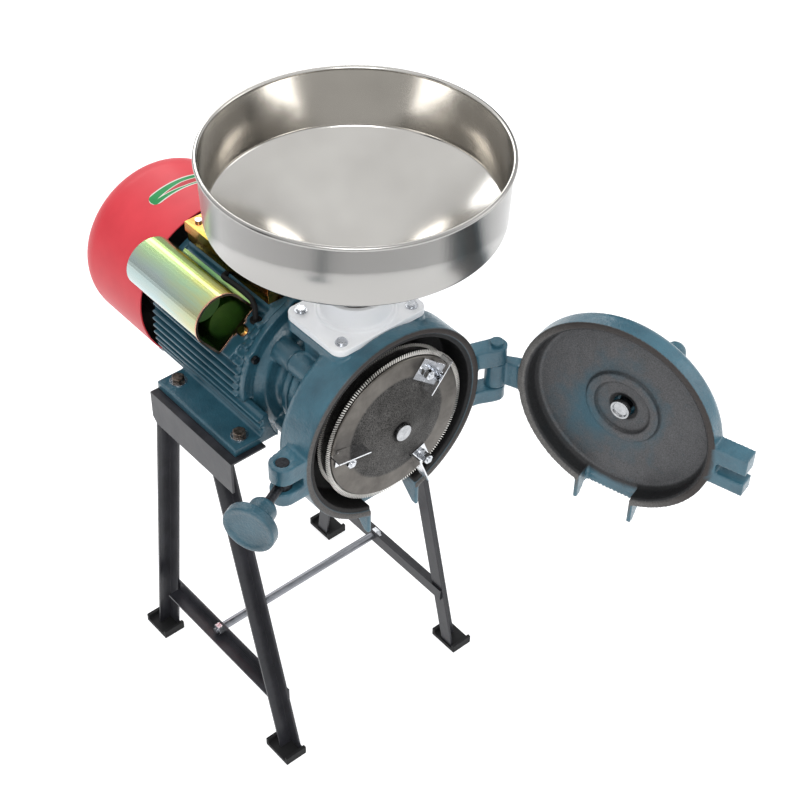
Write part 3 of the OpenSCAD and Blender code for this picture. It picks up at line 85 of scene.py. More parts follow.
# %% Camera
azimuth, elevation, roll = math.radians(-42.19), math.radians(42.11), math.radians(1.78)
back = Vector((math.sin(azimuth) * math.cos(elevation), -math.cos(azimuth) * math.cos(elevation),
               math.sin(elevation)))
level = Vector((math.cos(azimuth), math.sin(azimuth), 0))
over = back.cross(level)
right = level * math.cos(roll) + over * math.sin(roll)
up = over * math.cos(roll) - level * math.sin(roll)
target = at(0, 0, 0) + (right * 27.69 + up * 34.72) / 1000
stand_off = 1.71106

camera = bpy.data.objects.new("camera", bpy.data.cameras.new("camera"))
bpy.context.scene.collection.objects.link(camera)
view = Matrix((right, up, back)).transposed().to_4x4()
view.translation = target + back * stand_off
camera.matrix_world = view
camera.data.lens = 36 * 1676.66 / 800
camera.data.shift_x = (400 - 422.51) / 800
camera.data.shift_y = (392.06 - 400) / 800
camera.data.clip_start, camera.data.clip_end = 0.05, 50
bpy.context.scene.camera = camera
print("camera", [round(v, 3) for v in camera.location])

# %% [markdown]
# Node materials need two helpers. One turns the sRGB hex values that a colour picker shows into the
# linear values that shaders use. The other adds any kind of node with its settings and links, so a
# material reads as a list of nodes.

# %% Helpers for materials


def colour(code):
    """A hex colour as linear RGBA."""
    values = [int(code[i:i + 2], 16) / 255 for i in (1, 3, 5)]
    return tuple(v / 12.92 if v <= 0.04045 else ((v + 0.055) / 1.055) ** 2.4 for v in values) + (1.0,)


def socket_of(source):
    """A socket as it is, or a node's first output."""
    return source.outputs[0] if isinstance(source, bpy.types.Node) else source


def add(tree, kind, links=(), values=(), stops=(), **settings):
    """Adds a node. links and values pair an input with what goes into it; stops are a ramp's.

    A kind that names no family is a shader node, and a node given as a link is its first output.
    """
    node = tree.nodes.new(kind if "Node" in kind else "ShaderNode" + kind)
    for key, value in settings.items():
        setattr(node, key, value)
    for key, value in dict(values).items():
        node.inputs[key].default_value = value
    for key, source in dict(links).items():
        tree.links.new(socket_of(source), node.inputs[key])
    for i, (place, code) in enumerate(stops):
        stop = node.color_ramp.elements[i] if i < 2 else node.color_ramp.elements.new(place)
        stop.position, stop.color = place, colour(code)
    return node


def finish_named(name, **values):
    """A new material with its Principled shader set; underscores in the names stand for spaces."""
    material = bpy.data.materials.new(name)
    material.use_nodes = True
    shader = material.node_tree.nodes["Principled BSDF"]
    for key, value in values.items():
        shader.inputs[key.replace("_", " ")].default_value = value
    return material, material.node_tree, shader


def wire(shader, **sources):
    """Links nodes to the shader's inputs; underscores in the names stand for spaces."""
    for key, source in sources.items():
        shader.id_data.links.new(socket_of(source), shader.inputs[key.replace("_", " ")])


def eased_skin(tree, height, radius, strength, distance):
    """An uneven skin over rounded arrises: a bevel in the shading, and a bump on top of it."""
    rounded = add(tree, "Bevel", (), {"Radius": radius}, samples=4)
    return add(tree, "Bump", {"Height": height, "Normal": rounded},
               {"Strength": strength, "Distance": distance})


MM = 1000.0  # texture scales are written as MM / size, because coordinates are in metres
FIRST, SECOND, MIXED = 6, 7, 2  # a colour Mix's sockets; its number sockets have the same names
print("white is", colour("#FFFFFF"))

# %% [markdown]
# The studio is a pale floor, a soft white surround and three large lamps. The surround is white to the
# camera and in reflections. For diffuse light it is dimmer, so that the lamps still shape the castings.
# The floor keeps the mill's shadow, because only part of its light comes from Is Camera Ray.

# %% Surround and floor
scene = bpy.context.scene
scene.view_settings.view_transform = "Standard"
world = bpy.data.worlds.new("studio")
scene.world = world
world.use_nodes = True
tree = world.node_tree
tree.nodes.clear()
rays = add(tree, "LightPath")
where = add(tree, "TexCoord")
height = add(tree, "SeparateXYZ", {"Vector": where.outputs["Generated"]})
sky = add(tree, "MapRange", {"Value": height.outputs["Z"]},
          {"From Min": -0.2, "From Max": 0.9, "To Min": 0.42, "To Max": 0.9})
mirror = add(tree, "MapRange", {"Value": height.outputs["Z"]},
             {"From Min": -0.1, "From Max": 0.8, "To Min": 0.62, "To Max": 1.0})
soft = add(tree, "Background", {"Strength": sky}, {"Color": colour("#F4F7FA")})
shiny = add(tree, "Background", {"Strength": mirror}, {"Color": colour("#FAFBFC")})
white = add(tree, "Background", (), {"Color": (1, 1, 1, 1), "Strength": 1.0})
lit = add(tree, "MixShader", {0: rays.outputs["Is Glossy Ray"], 1: soft, 2: shiny})
seen = add(tree, "MixShader", {0: rays.outputs["Is Camera Ray"], 1: lit, 2: white})
add(tree, "OutputWorld", {"Surface": seen})

floor_finish, tree, shader = finish_named("seamless_paper", Roughness=0.9)
shader.inputs["Base Color"].default_value = colour("#E6E6E6")
rays = add(tree, "LightPath")
direct = add(tree, "Math", {0: rays.outputs["Is Camera Ray"], 1: rays.outputs["Is Glossy Ray"]},
             operation="MAXIMUM")
strength = add(tree, "Math", {0: direct}, {1: 0.62}, operation="MULTIPLY")
glow = add(tree, "Emission", {"Strength": strength}, {"Color": (1, 1, 1, 1)})
both = add(tree, "AddShader", {0: shader, 1: glow})
tree.links.new(both.outputs[0], tree.nodes["Material Output"].inputs["Surface"])

floor_mesh = bpy.data.meshes.new("floor")
floor_mesh.from_pydata([(-6, -6, 0), (6, -6, 0), (6, 6, 0), (-6, 6, 0)], [], [(0, 1, 2, 3)])
floor_mesh.materials.append(floor_finish)
floor = bpy.data.objects.new("floor", floor_mesh)
scene.collection.objects.link(floor)
print("floor", floor.name)

# %% [markdown]
# The key lamp hangs over the camera's left shoulder, a weaker fill stands on the right, and a strip
# behind the mill lights the rims. Two dark cards stand outside the picture. Polished steel only looks
# like steel if it has something dark to mirror, so studios hang such cards too.

# %% Lamps and cards
aim = Vector((0, 0, 0.45))  # the middle of the mill


def lamp(name, place, size, watts):
    """A rectangular soft box that faces the middle of the mill."""
    light = bpy.data.lights.new(name, "AREA")
    light.shape, light.size, light.size_y, light.energy = "RECTANGLE", size[0], size[1], watts
    item = bpy.data.objects.new(name, light)
    scene.collection.objects.link(item)
    item.location = place
    item.rotation_euler = (aim - Vector(place)).to_track_quat("-Z", "Y").to_euler()


lamp("key_lamp", (-1.3, -1.5, 2.6), (1.3, 1.3), 30)
lamp("fill_lamp", (2.0, -1.3, 1.5), (1.2, 1.6), 9)
lamp("rim_lamp", (0.6, 2.2, 2.0), (2.0, 0.6), 16)

card_finish, tree, shader = finish_named("black_card", Roughness=1.0)
shader.inputs["Base Color"].default_value = colour("#1B1D20")
shader.inputs["Specular IOR Level"].default_value = 0.0


def card(name, centre, width, tall, facing):
    """A dark flat that only reflections see."""
    mesh = bpy.data.meshes.new(name)
    w, h = width / 2, tall / 2
    mesh.from_pydata([(-w, 0, -h), (w, 0, -h), (w, 0, h), (-w, 0, h)], [], [(0, 1, 2, 3)])
    mesh.transform(Matrix.Rotation(math.radians(facing), 4, "Z"))
    mesh.transform(Matrix.Translation(centre))
    mesh.materials.append(card_finish)
    item = bpy.data.objects.new(name, mesh)
    scene.collection.objects.link(item)
    item.visible_camera = item.visible_shadow = item.visible_diffuse = False


card("left_card", (-1.7, 0.3, 1.2), 0.5, 2.4, 75)
card("right_card", (1.5, 0.9, 1.2), 0.45, 2.4, -60)

# %% [markdown]
# The castings, the motor and the lid wear one finish: a thick teal enamel, stoved on grey iron. The
# sand of the mould still shows through as a fine pebble grain, and the thick film makes it soft. Two
# noise sizes give the grain and the slow waves of the casting, and a coat gives the wet gloss.

# %% Teal enamel on cast iron


def teal_enamel(name, base, dark, grain=0.55):
    """Stoved enamel over a sand casting: 34 mm waves from the mould, 2.6 mm pebbles from its sand."""
    material, tree, shader = finish_named(name, Roughness=0.4, Coat_Weight=0.4, Coat_Roughness=0.12,
                                          Specular_IOR_Level=0.45)
    place = add(tree, "TexCoord").outputs["Object"]
    waves = add(tree, "TexNoise", {"Vector": place}, {"Scale": MM / 34, "Detail": 3.0, "Roughness": 0.6})
    pebble = add(tree, "TexNoise", {"Vector": place}, {"Scale": MM / 2.6, "Detail": 3.0, "Roughness": 0.62})
    shade = add(tree, "ValToRGB", {"Fac": waves}, (), [(0.3, dark), (0.68, base)])
    gloss = add(tree, "MapRange", {"Value": pebble},
                {"From Min": 0.3, "From Max": 0.7, "To Min": 0.28, "To Max": 0.46})
    skin = eased_skin(tree, waves, 0.0012, 0.35, 0.004)
    grains = add(tree, "Bump", {"Height": pebble, "Normal": skin}, {"Strength": grain, "Distance": 0.0009})
    wire(shader, Base_Color=shade, Roughness=gloss, Normal=grains, Coat_Normal=grains)
    return material


motor_enamel = teal_enamel("teal_enamel_motor", "#315D6D", "#234A59", 0.4)
box_enamel = teal_enamel("teal_enamel_fittings", "#3B6979", "#2A5362", 0.6)
print("finishes", motor_enamel.name, box_enamel.name)

# %% [markdown]
# The chamber and the lid carry three finishes on one casting: enamel outside, bare iron where grain is
# milled, and a turned rim where the two halves meet. In the chamber the bare iron is drawn near black, as
# painted shade of the deep bore. Three attributes on the mesh say which is where, each from 0 to 1, and
# noise breaks the borders, as a spray gun does. One more attribute adds painted shade in recesses, grooves
# and on one side.

# %% Enamel, bare iron and turned rim in one material


def part_painted(name, base, dark, iron, iron_light):
    """Enamel, and by attributes bare iron (raw), a turned rim (rim), overspray (mist) and painted shade.

    Iron has 16 mm clouds of oil and 1.4 mm grains.
    """
    material = teal_enamel(name, base, dark)
    tree = material.node_tree
    shader = tree.nodes["Principled BSDF"]
    place = add(tree, "TexCoord").outputs["Object"]
    paint = shader.inputs["Base Color"].links[0].from_socket
    gloss = shader.inputs["Roughness"].links[0].from_socket
    raw = add(tree, "Attribute", attribute_name="raw").outputs["Fac"]
    rim = add(tree, "Attribute", attribute_name="rim").outputs["Fac"]
    mist = add(tree, "Attribute", attribute_name="mist").outputs["Fac"]
    soot = add(tree, "Attribute", attribute_name="soot").outputs["Fac"]
    cloud = add(tree, "TexNoise", {"Vector": place}, {"Scale": MM / 16, "Detail": 5.0, "Roughness": 0.65})
    speck = add(tree, "TexNoise", {"Vector": place}, {"Scale": MM / 1.4, "Detail": 2.0, "Roughness": 0.7})
    evened = add(tree, "MapRange", {"Value": cloud}, {"To Min": 0.35, "To Max": 0.65})
    ground = add(tree, "Math", {0: evened, 1: speck}, operation="MULTIPLY")
    bare = add(tree, "ValToRGB", {"Fac": ground}, (), [(0.12, iron), (0.42, iron_light)])
    # the spray: the mist attribute less the cloud, with a hard knee, so it breaks up at its edge
    thrown = add(tree, "Math", {0: mist, 1: cloud}, operation="SUBTRACT")
    spray = add(tree, "MapRange", {"Value": thrown},
                {"From Min": -0.4, "From Max": 0.45, "To Min": 0.0, "To Max": 0.7})
    misted = add(tree, "Mix", {"Factor": spray, FIRST: bare}, {SECOND: colour(base)}, data_type="RGBA")
    # painted shade: one attribute darkens the bare iron towards near black, and the turned rim too, in
    # recesses, grooves and on one side
    shaded_iron = add(tree, "Mix", {"Factor": soot, FIRST: misted.outputs[MIXED]}, {SECOND: colour("#1E1E1F")},
                 data_type="RGBA")
    inner = add(tree, "Mix", {"Factor": raw, FIRST: paint, SECOND: shaded_iron.outputs[MIXED]}, data_type="RGBA")
    turned_iron = add(tree, "ValToRGB", {"Fac": speck}, (), [(0.35, "#5E5C5A"), (0.7, "#7D7B79")])
    shaded_rim_iron = add(tree, "Mix", {"Factor": soot, FIRST: turned_iron}, {SECOND: colour("#3F3A38")},
                data_type="RGBA")
    edge = add(tree, "Mix", {"Factor": rim, FIRST: inner.outputs[MIXED], SECOND: shaded_rim_iron.outputs[MIXED]},
               data_type="RGBA")
    dull = add(tree, "Math", {0: raw, 1: rim}, operation="MAXIMUM")
    rough = add(tree, "Mix", {"Factor": dull, "A": gloss}, {"B": 0.62})
    film = add(tree, "MapRange", {"Value": dull}, {"To Min": 0.4, "To Max": 0.0})
    metal = add(tree, "Math", {0: dull}, {1: 0.45}, operation="MULTIPLY")
    wire(shader, Base_Color=edge.outputs[MIXED], Roughness=rough, Coat_Weight=film, Metallic=metal)
    return material


# the chamber's bare iron is drawn near black, much darker than the same iron in the lid: painted shade of
# its deep bore
body_finish = part_painted("teal_enamel_chamber", "#3A6A7B", "#2A5363", "#1B1A19", "#322F2D")
lid_finish = part_painted("teal_enamel_lid", "#3A6A7B", "#2A5363", "#474748", "#717173")
print("finishes", body_finish.name, lid_finish.name)

# %% [markdown]
# Real castings have no sharp corners: the pattern is rounded so that it leaves the sand, and inside
# corners are filleted. A voxel remesh with a short smoothing gives both at once, outside and inside
# corners alike, which a bevel can't. The decimation at the end takes triangles from the flats.

# %% Rounded copies of the castings


def casting(name, node, body, voxel, rounds, keep):
    """A copy of a CAD node with cast corners. voxel is in millimetres, keep is the share of faces kept."""
    mesh = nodes[node].data.copy()
    mesh.materials.clear()
    work = bmesh.new()
    work.from_mesh(mesh)
    bmesh.ops.remove_doubles(work, verts=work.verts, dist=1e-6)
    work.to_mesh(mesh)
    work.free()
    for extra in [a.name for a in mesh.attributes if not a.is_internal and not a.is_required]:
        if mesh.attributes.get(extra) and extra not in ("sharp_face", "custom_normal"):
            mesh.attributes.remove(mesh.attributes[extra])
    item = bpy.data.objects.new(name, mesh)
    scene.collection.objects.link(item)
    sand = item.modifiers.new("sand", "REMESH")
    sand.mode, sand.voxel_size, sand.use_smooth_shade = "VOXEL", voxel / 1000, True
    relax = item.modifiers.new("relax", "SMOOTH")
    relax.factor, relax.iterations = 0.5, rounds
    thin = item.modifiers.new("thin", "DECIMATE")
    thin.ratio = keep
    done = bpy.data.meshes.new_from_object(item.evaluated_get(bpy.context.evaluated_depsgraph_get()))
    item.modifiers.clear()
    item.data = done
    done.name = name
    done.shade_smooth()
    bpy.data.meshes.remove(mesh)
    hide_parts(node)
    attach(item, body)
    print(name, len(done.polygons), "faces")
    return item


def zones(item, **rules):
    """Writes one attribute a rule. A rule takes arrays of x, y and z in millimetres from the origin."""
    points = np.empty(len(item.data.vertices) * 3, np.float32)
    item.data.vertices.foreach_get("co", points)
    x, y, z = ((points.reshape(-1, 3) - np.array(origin)) * 1000).T
    for key, rule in rules.items():
        layer = item.data.attributes.new(key, "FLOAT", "POINT")
        layer.data.foreach_set("value", np.clip(rule(x, y, z), 0, 1).astype(np.float32))


def step(value, start, end):
    """0 before start, 1 after end and even between them."""
    return np.clip((value - start) / (end - start), 0, 1)


# %% [markdown]
# The chamber's zones are rings about the shaft. Its inside is bare, and its face is turned. The lid was
# cast shut and hangs open by 105 degrees, so its points are turned back about the hinge pin before the
# same rings are measured.

# %% Chamber and lid
lid_angle = math.radians(105)
lid_floor = -22.0
bore_r, face_r = 102.0, 115.2  # the chamber's bore and its open face's outer edge


def shut(x, y):
    """Where a point of the open lid lies when the lid is shut."""
    u, v = x - hinge[0], y - hinge[1]
    c, s = math.cos(lid_angle), math.sin(lid_angle)
    return hinge[0] + u * c + v * s, hinge[1] - u * s + v * c


def chamber_raw(x, y, z):
    """The bore behind the open face, as deep as the discs."""
    return step(y, -2.0, -1.0) * step(np.hypot(x, z), 108.6, 107.6) * step(y, 60, 50)


def chamber_rim(x, y, z):
    """The turned ring of the open face."""
    radius = np.hypot(x, z)
    return step(y, 2.0, 1.2) * step(radius, face_r, face_r - 0.8) * step(radius, bore_r, bore_r + 1)


def chamber_soot(x, y, z):
    """Painted shade over the bore and the face, darker towards the upper right."""
    return 0.35 + 0.65 * step(x + z, -60, 60)


chamber = casting("chamber_casting", "mill_body", "frame", voxel=1.2, rounds=3, keep=0.45)
zones(chamber, raw=chamber_raw, rim=chamber_rim, soot=chamber_soot)
chamber.data.materials.append(body_finish)


def lid_raw(x, y, z):
    """The dished inside."""
    a, b = shut(x, y)
    return step(np.hypot(a, z), 109.5, 108.5) * step(b, -24.5, -23.5)


def lid_rim(x, y, z):
    """The turned ring that meets the chamber."""
    a, b = shut(x, y)
    return step(b, -2.0, -1.2) * step(np.hypot(a, z), 116, 115.2) * step(np.hypot(a, z), 106, 107)


def lid_mist(x, y, z):
    """Overspray, low on the hinge side and round the adjuster's boss."""
    a, b = shut(x, y)
    low_left = np.exp(-(((a - 46) / 30) ** 2 + ((z + 34) / 40) ** 2))
    ring = np.exp(-((np.hypot(a, z) - 46) / 8) ** 2)
    return 0.85 * low_left + 0.35 * ring


def lid_soot(x, y, z):
    """Painted shade on the wall, in the recess and in the two grooves, and on the rim's lower side."""
    a, b = shut(x, y)
    radius = np.hypot(a, z)
    wall = step(b, lid_floor + 0.8, lid_floor + 2.4) * step(radius, 98.5, 100.5)
    recess = step(radius, 17.5, 16) * step(b, lid_floor + 1, lid_floor - 1)
    groove = 0.6 * np.exp(-((radius - 43.5) / 1.2) ** 2) + 0.6 * np.exp(-((radius - 31) / 1.6) ** 2)
    rim_side = 0.95 * step(b, -2.2, -1.2) * step(z - a, -60, 40)
    return np.maximum.reduce([0.85 * wall * step(b, -1.2, -2.4), recess, groove, rim_side])


lid = casting("lid_casting", "lid", "lid", voxel=1.2, rounds=3, keep=0.45)
zones(lid, raw=lid_raw, rim=lid_rim, mist=lid_mist, soot=lid_soot)
lid.data.materials.append(lid_finish)
motor = casting("motor_casting", "motor_housing", "frame", voxel=1.3, rounds=1, keep=0.35)
motor.data.materials.append(motor_enamel)
shield = casting("front_shield_casting", "front_end_shield", "frame", voxel=1.3, rounds=3,
                 keep=0.5)
shield.data.materials.append(motor_enamel)

# %% [markdown]
# The stand is folded and welded mild steel under black gloss enamel. Brushed-on enamel flows a little
# before it sets, so its reflections waver, and dust dulls it in patches.

# %% Black enamel


def black_enamel():
    """Gloss enamel on folded steel: it flows in 14 mm waves and is dull where dust lies, every 40 mm."""
    material, tree, shader = finish_named("black_gloss_enamel", Roughness=0.36, Specular_IOR_Level=0.32,
                                          Coat_Weight=0.1, Coat_Roughness=0.12)
    place = add(tree, "TexCoord").outputs["Object"]
    flow = add(tree, "TexNoise", {"Vector": place}, {"Scale": MM / 14, "Detail": 2.0})
    dust = add(tree, "TexNoise", {"Vector": place}, {"Scale": MM / 40, "Detail": 6.0, "Roughness": 0.7})
    shade = add(tree, "ValToRGB", {"Fac": dust}, (), [(0.4, "#26262A"), (0.75, "#3B3B40")])
    gloss = add(tree, "MapRange", {"Value": dust}, {"From Min": 0.35, "From Max": 0.7, "To Min": 0.3,
                                                    "To Max": 0.46})
    wire(shader, Base_Color=shade, Roughness=gloss, Normal=eased_skin(tree, flow, 0.0009, 0.25, 0.001))
    return material


def dress(material, *names):
    """Gives CAD nodes a finish."""
    for name in names:
        for place in nodes[name].material_slots:
            place.material = material
    return material


stand_enamel = dress(black_enamel(), "left_rail", "right_rail", "left_front_leg", "left_rear_leg",
                     "right_front_leg", "right_rear_leg", "left_brace", "right_brace")
print("finish", stand_enamel.name)

# %% [markdown]
# Yellow-passivated zinc is a film so thin that it colours by interference: straw, green, pink and
# copper in slow clouds, over bright metal. A noise with a long wave drives a ramp of those colours. The
# shader stays metallic with a low roughness, because the sheet under the film is smooth.

# %% Yellow zinc


def yellow_zinc(name, tints, rough=0.24):
    """Clouds of the tints, 26 mm across and drawn out along the sheet's rolling direction."""
    material, tree, shader = finish_named(name, Metallic=1.0, Roughness=rough)
    place = add(tree, "TexCoord").outputs["Object"]
    drawn = add(tree, "Mapping", {"Vector": place}, {"Scale": (1.0, 0.22, 1.0)})
    film = add(tree, "TexNoise", {"Vector": drawn},
               {"Scale": MM / 26, "Detail": 4.0, "Roughness": 0.55, "Distortion": 0.6})
    tint = add(tree, "ValToRGB", {"Fac": film}, (), tints)
    wire(shader, Base_Color=tint, Normal=eased_skin(tree, film, 0.0006, 0.1, 0.002))
    return material


def capacitor_zinc(name, axis, lean, front):
    """The cover's zinc: film colours in bands round its axis with painted shade that darkens them towards
    the upper right, straw clouds in front, a copper lip, and a green inside that is lightened as painted
    light.
    """
    material = yellow_zinc(name, [(0.4, "#A8C6A0"), (0.62, "#D2BE62")], 0.2)
    tree = material.node_tree
    shader = tree.nodes["Principled BSDF"]
    clouds = shader.inputs["Base Color"].links[0].from_socket
    place = add(tree, "TexCoord").outputs["Object"]
    from_axis = add(tree, "VectorMath", {0: place}, {1: tuple(axis)}, operation="SUBTRACT")
    upright = add(tree, "Mapping", {"Vector": from_axis}, {"Rotation": (0, -lean, 0)})
    parts = add(tree, "SeparateXYZ", {"Vector": upright})
    angle = add(tree, "Math", {0: parts.outputs["X"], 1: parts.outputs["Z"]}, operation="ARCTAN2")
    wander = add(tree, "TexNoise", {"Vector": place}, {"Scale": MM / 50, "Detail": 2.0})
    turn = add(tree, "Math", {0: wander}, {1: 0.5}, operation="MULTIPLY")
    bent = add(tree, "Math", {0: angle, 1: turn}, operation="ADD")
    share = add(tree, "MapRange", {"Value": bent}, {"From Min": -1.5, "From Max": 2.0})
    # painted shade: the bands are film colours that also grow darker from the lower left to the upper right,
    # as the light falls on the curve
    film_bands_and_shade = add(tree, "ValToRGB", {"Fac": share}, (),
                [(0.05, "#A9BCC0"), (0.22, "#A9C69C"), (0.34, "#A3BC6E"), (0.46, "#9DB96F"),
                 (0.58, "#7FAE86"), (0.7, "#84A6A6"), (0.82, "#A493AE"), (0.95, "#B78795")])
    depth = add(tree, "SeparateXYZ", {"Vector": place}).outputs["Y"]
    near = add(tree, "MapRange", {"Value": depth}, {"From Min": front, "From Max": front + 0.07,
                                                    "To Min": 0.75, "To Max": 0.12})
    outer = add(tree, "Mix", {"Factor": near, FIRST: film_bands_and_shade, SECOND: clouds}, data_type="RGBA")
    flat = add(tree, "Mapping", {"Vector": from_axis}, {"Scale": (1.0, 0.0, 1.0)})
    unit = add(tree, "VectorMath", {0: flat}, operation="NORMALIZE")
    face = add(tree, "NewGeometry").outputs["True Normal"]
    looks = add(tree, "VectorMath", {0: unit, 1: face}, operation="DOT_PRODUCT")
    open_side = add(tree, "MapRange", {"Value": looks.outputs["Value"]},
                    {"From Min": -0.3, "From Max": -0.1, "To Min": 1.0, "To Max": 0.0})
    # painted light: the green film inside is drawn bright, to make up for the little light that reaches it
    lightened_inside = add(tree, "ValToRGB", {"Fac": wander}, (), [(0.35, "#86B57C"), (0.65, "#C9DE8C")])
    shell = add(tree, "Mix", {"Factor": open_side, FIRST: outer.outputs[MIXED], SECOND: lightened_inside},
                data_type="RGBA")
    lip = add(tree, "MapRange", {"Value": depth}, {"From Min": front + 0.002, "From Max": front + 0.0034,
                                                   "To Min": 0.85, "To Max": 0.0})
    whole = add(tree, "Mix", {"Factor": lip, FIRST: shell.outputs[MIXED]}, {SECOND: colour("#D69A86")},
                data_type="RGBA")
    wire(shader, Base_Color=whole.outputs[MIXED])
    return material


# thin film on the screw, a thicker and darker one on the terminal box
straw_zinc = dress(yellow_zinc("yellow_passivated_zinc",
                               [(0.3, "#9FC7A4"), (0.42, "#D8CB74"), (0.54, "#E2C882"), (0.66, "#E3B9B4"),
                                (0.8, "#A7CDB4")]), "capacitor_screw")
dress(yellow_zinc("copper_shade_zinc", [(0.28, "#6F7A33"), (0.42, "#A98B3E"), (0.52, "#C08A4E"),
                                        (0.62, "#A35F28"), (0.75, "#D6A878")], 0.2), "terminal_cover",
      "terminal_box")
cover_axis = at(-93.7, 0, 84.2)
dress(capacitor_zinc("drawn_passivated_zinc", cover_axis, math.radians(38), at(0, 165.0, 0).y),
      "capacitor_cover")
print("finish", straw_zinc.name)

# %% [markdown]
# Bolts, washers and the sweeper blades are bright zinc over steel. It is a bluish grey metal with a
# soft mirror and a light orange peel from the plating bath.

# %% Bright metals


def plain_metal(name, base, light, rough, grain=3.0, strength=0.1):
    """A metal with a mottled tint and a slightly uneven skin. grain is the mottle's size in millimetres."""
    material, tree, shader = finish_named(name, Metallic=1.0, Roughness=rough)
    place = add(tree, "TexCoord").outputs["Object"]
    mottle = add(tree, "TexNoise", {"Vector": place}, {"Scale": MM / grain, "Detail": 4.0, "Roughness": 0.6})
    shade = add(tree, "ValToRGB", {"Fac": mottle}, (), [(0.35, base), (0.65, light)])
    gloss = add(tree, "MapRange", {"Value": mottle},
                {"From Min": 0.3, "From Max": 0.7, "To Min": rough * 0.75, "To Max": rough * 1.35})
    wire(shader, Base_Color=shade, Roughness=gloss,
         Normal=eased_skin(tree, mottle, 0.0005, strength, 0.0005))
    return material


# barrel-plated fasteners
bright_zinc = dress(plain_metal("bright_zinc_plate", "#B4B7BB", "#DADCE0", 0.22), "tie_rod_nuts",
                    "motor_foot_bolts", "body_bolts", "cowl_screws", "terminal_screws", "feed_seat_screws",
                    "blade_screws")
# plated flat sheet mirrors more than bolts do
dress(plain_metal("mirror_zinc_plate", "#C9CBCE", "#E2E3E6", 0.1, 6.0, 0.04), "sweeper_blades")
# hardened buttons, polished by rubbing on each other
dress(plain_metal("worn_tip_steel", "#9C9D9F", "#B9BABC", 0.22, 6.0, 0.05), "thrust_tip", "thrust_cap")
# ground bar and springs
shaft_steel = dress(plain_metal("ground_shaft_steel", "#9A9DA1", "#B9BCC0", 0.25), "motor_shaft",
                    "drive_key", "float_spring", "lock_nut", "fixed_disc_screws")
# oil-blacked steel: dark, with a low sheen
dark_steel = dress(plain_metal("blued_steel", "#2A2B2D", "#45464A", 0.42), "swing_bolt", "swing_pin",
                   "knob_washer", "adjust_screw", "shield_screws")
# drawn bar, grey and even
dress(plain_metal("drawn_rod_steel", "#83858A", "#97999E", 0.36, 14.0, 0.03), "tie_rod")
# lapped rings, stacked core sheets and a rough cast auger, all inside
dress(plain_metal("bearing_steel", "#C4C7CB", "#D6D8DB", 0.16), "ball_bearings")
dress(plain_metal("core_laminations", "#6A6D71", "#86898D", 0.45), "stator_core", "rotor_core")
dress(plain_metal("cast_auger_iron", "#4E4F52", "#6A6C70", 0.55, 1.5, 0.4), "feed_auger")
print("finishes", bright_zinc.name, shaft_steel.name, dark_steel.name)

# %% [markdown]
# The grinding discs are hard cast iron. The turning disc has a ground outer band and a sand-blasted
# middle. Rings from the lathe run round both, so distance from the shaft drives the pattern.

# %% Disc iron


def disc_iron(name, band_from):
    """Ground outside band_from, blasted inside it, with painted shade darkening the pocket round the button.

    The blasting grit is drawn at 1.1 mm, coarser than it is, so that it shows.
    """
    material, tree, shader = finish_named(name, Metallic=1.0, Roughness=0.4)
    place = add(tree, "TexCoord").outputs["Object"]
    centred = add(tree, "Mapping", {"Vector": place}, {"Location": tuple(-origin)})
    flat = add(tree, "Mapping", {"Vector": centred}, {"Scale": (1.0, 0.0, 1.0)})
    radius = add(tree, "VectorMath", {0: flat}, operation="LENGTH").outputs["Value"]
    band = add(tree, "MapRange", {"Value": radius},
               {"From Min": (band_from - 1.5) / 1000, "From Max": (band_from + 1.5) / 1000})
    sand = add(tree, "TexNoise", {"Vector": place}, {"Scale": MM / 1.1, "Detail": 2.0, "Roughness": 0.7})
    cloud = add(tree, "TexNoise", {"Vector": place}, {"Scale": MM / 22, "Detail": 5.0, "Roughness": 0.65})
    # lathe rings one millimetre apart: fine enough to read as a sheen, coarse enough to render
    turns = add(tree, "Math", {0: radius}, {1: 2 * math.pi * MM / 1.2}, operation="MULTIPLY")
    ring = add(tree, "Math", {0: turns}, operation="SINE")
    blasted = add(tree, "ValToRGB", {"Fac": sand}, (), [(0.36, "#353433"), (0.64, "#6A6866")])
    blotch = add(tree, "MapRange", {"Value": cloud},
                 {"From Min": 0.35, "From Max": 0.62, "To Min": 0.66, "To Max": 1.06})
    # painted shade: the iron darkens to about a seventh within 9 to 12 mm of the shaft, in the pocket round
    # the button; the blotch clouds are its own tone
    painted_pocket_shade = add(tree, "MapRange", {"Value": radius},
                 {"From Min": 0.0088, "From Max": 0.0116, "To Min": 0.14, "To Max": 1.0})
    blotch_and_pocket_shade = add(tree, "Math", {0: blotch, 1: painted_pocket_shade}, operation="MULTIPLY")
    blotched_and_shaded = add(tree, "VectorMath", {0: blasted, 3: blotch_and_pocket_shade}, operation="SCALE")
    ground = add(tree, "ValToRGB", {"Fac": cloud}, (), [(0.3, "#55514D"), (0.72, "#6F6B66")])
    shade = add(tree, "Mix", {"Factor": band, FIRST: blotched_and_shaded, SECOND: ground}, data_type="RGBA")
    gloss = add(tree, "MapRange", {"Value": band}, {"To Min": 0.6, "To Max": 0.36})
    rounded = add(tree, "Bevel", (), {"Radius": 0.0007}, samples=4)
    grit = add(tree, "Mix", {"Factor": band, "A": sand, "B": ring})
    depth = add(tree, "MapRange", {"Value": band}, {"To Min": 0.5, "To Max": 0.03})
    skin = add(tree, "Bump", {"Height": grit, "Normal": rounded, "Strength": depth}, {"Distance": 0.0004})
    wire(shader, Base_Color=shade.outputs[MIXED], Roughness=gloss, Normal=skin)
    return material


dress(disc_iron("ground_disc_iron", 61), "turning_disc")
dress(disc_iron("blasted_disc_iron", 200), "fixed_disc")
print("finish", "ground_disc_iron")

# %% [markdown]
# The cowl is thin pressed steel in a red gloss enamel, and the feed seat is a white stoved casting.
# Both are paint, so only the slow unevenness of the sheet and a light orange peel disturb the gloss.
# Moulded plastics and rubber have the same build, with a finer grain and less gloss.

# %% Red and white paint


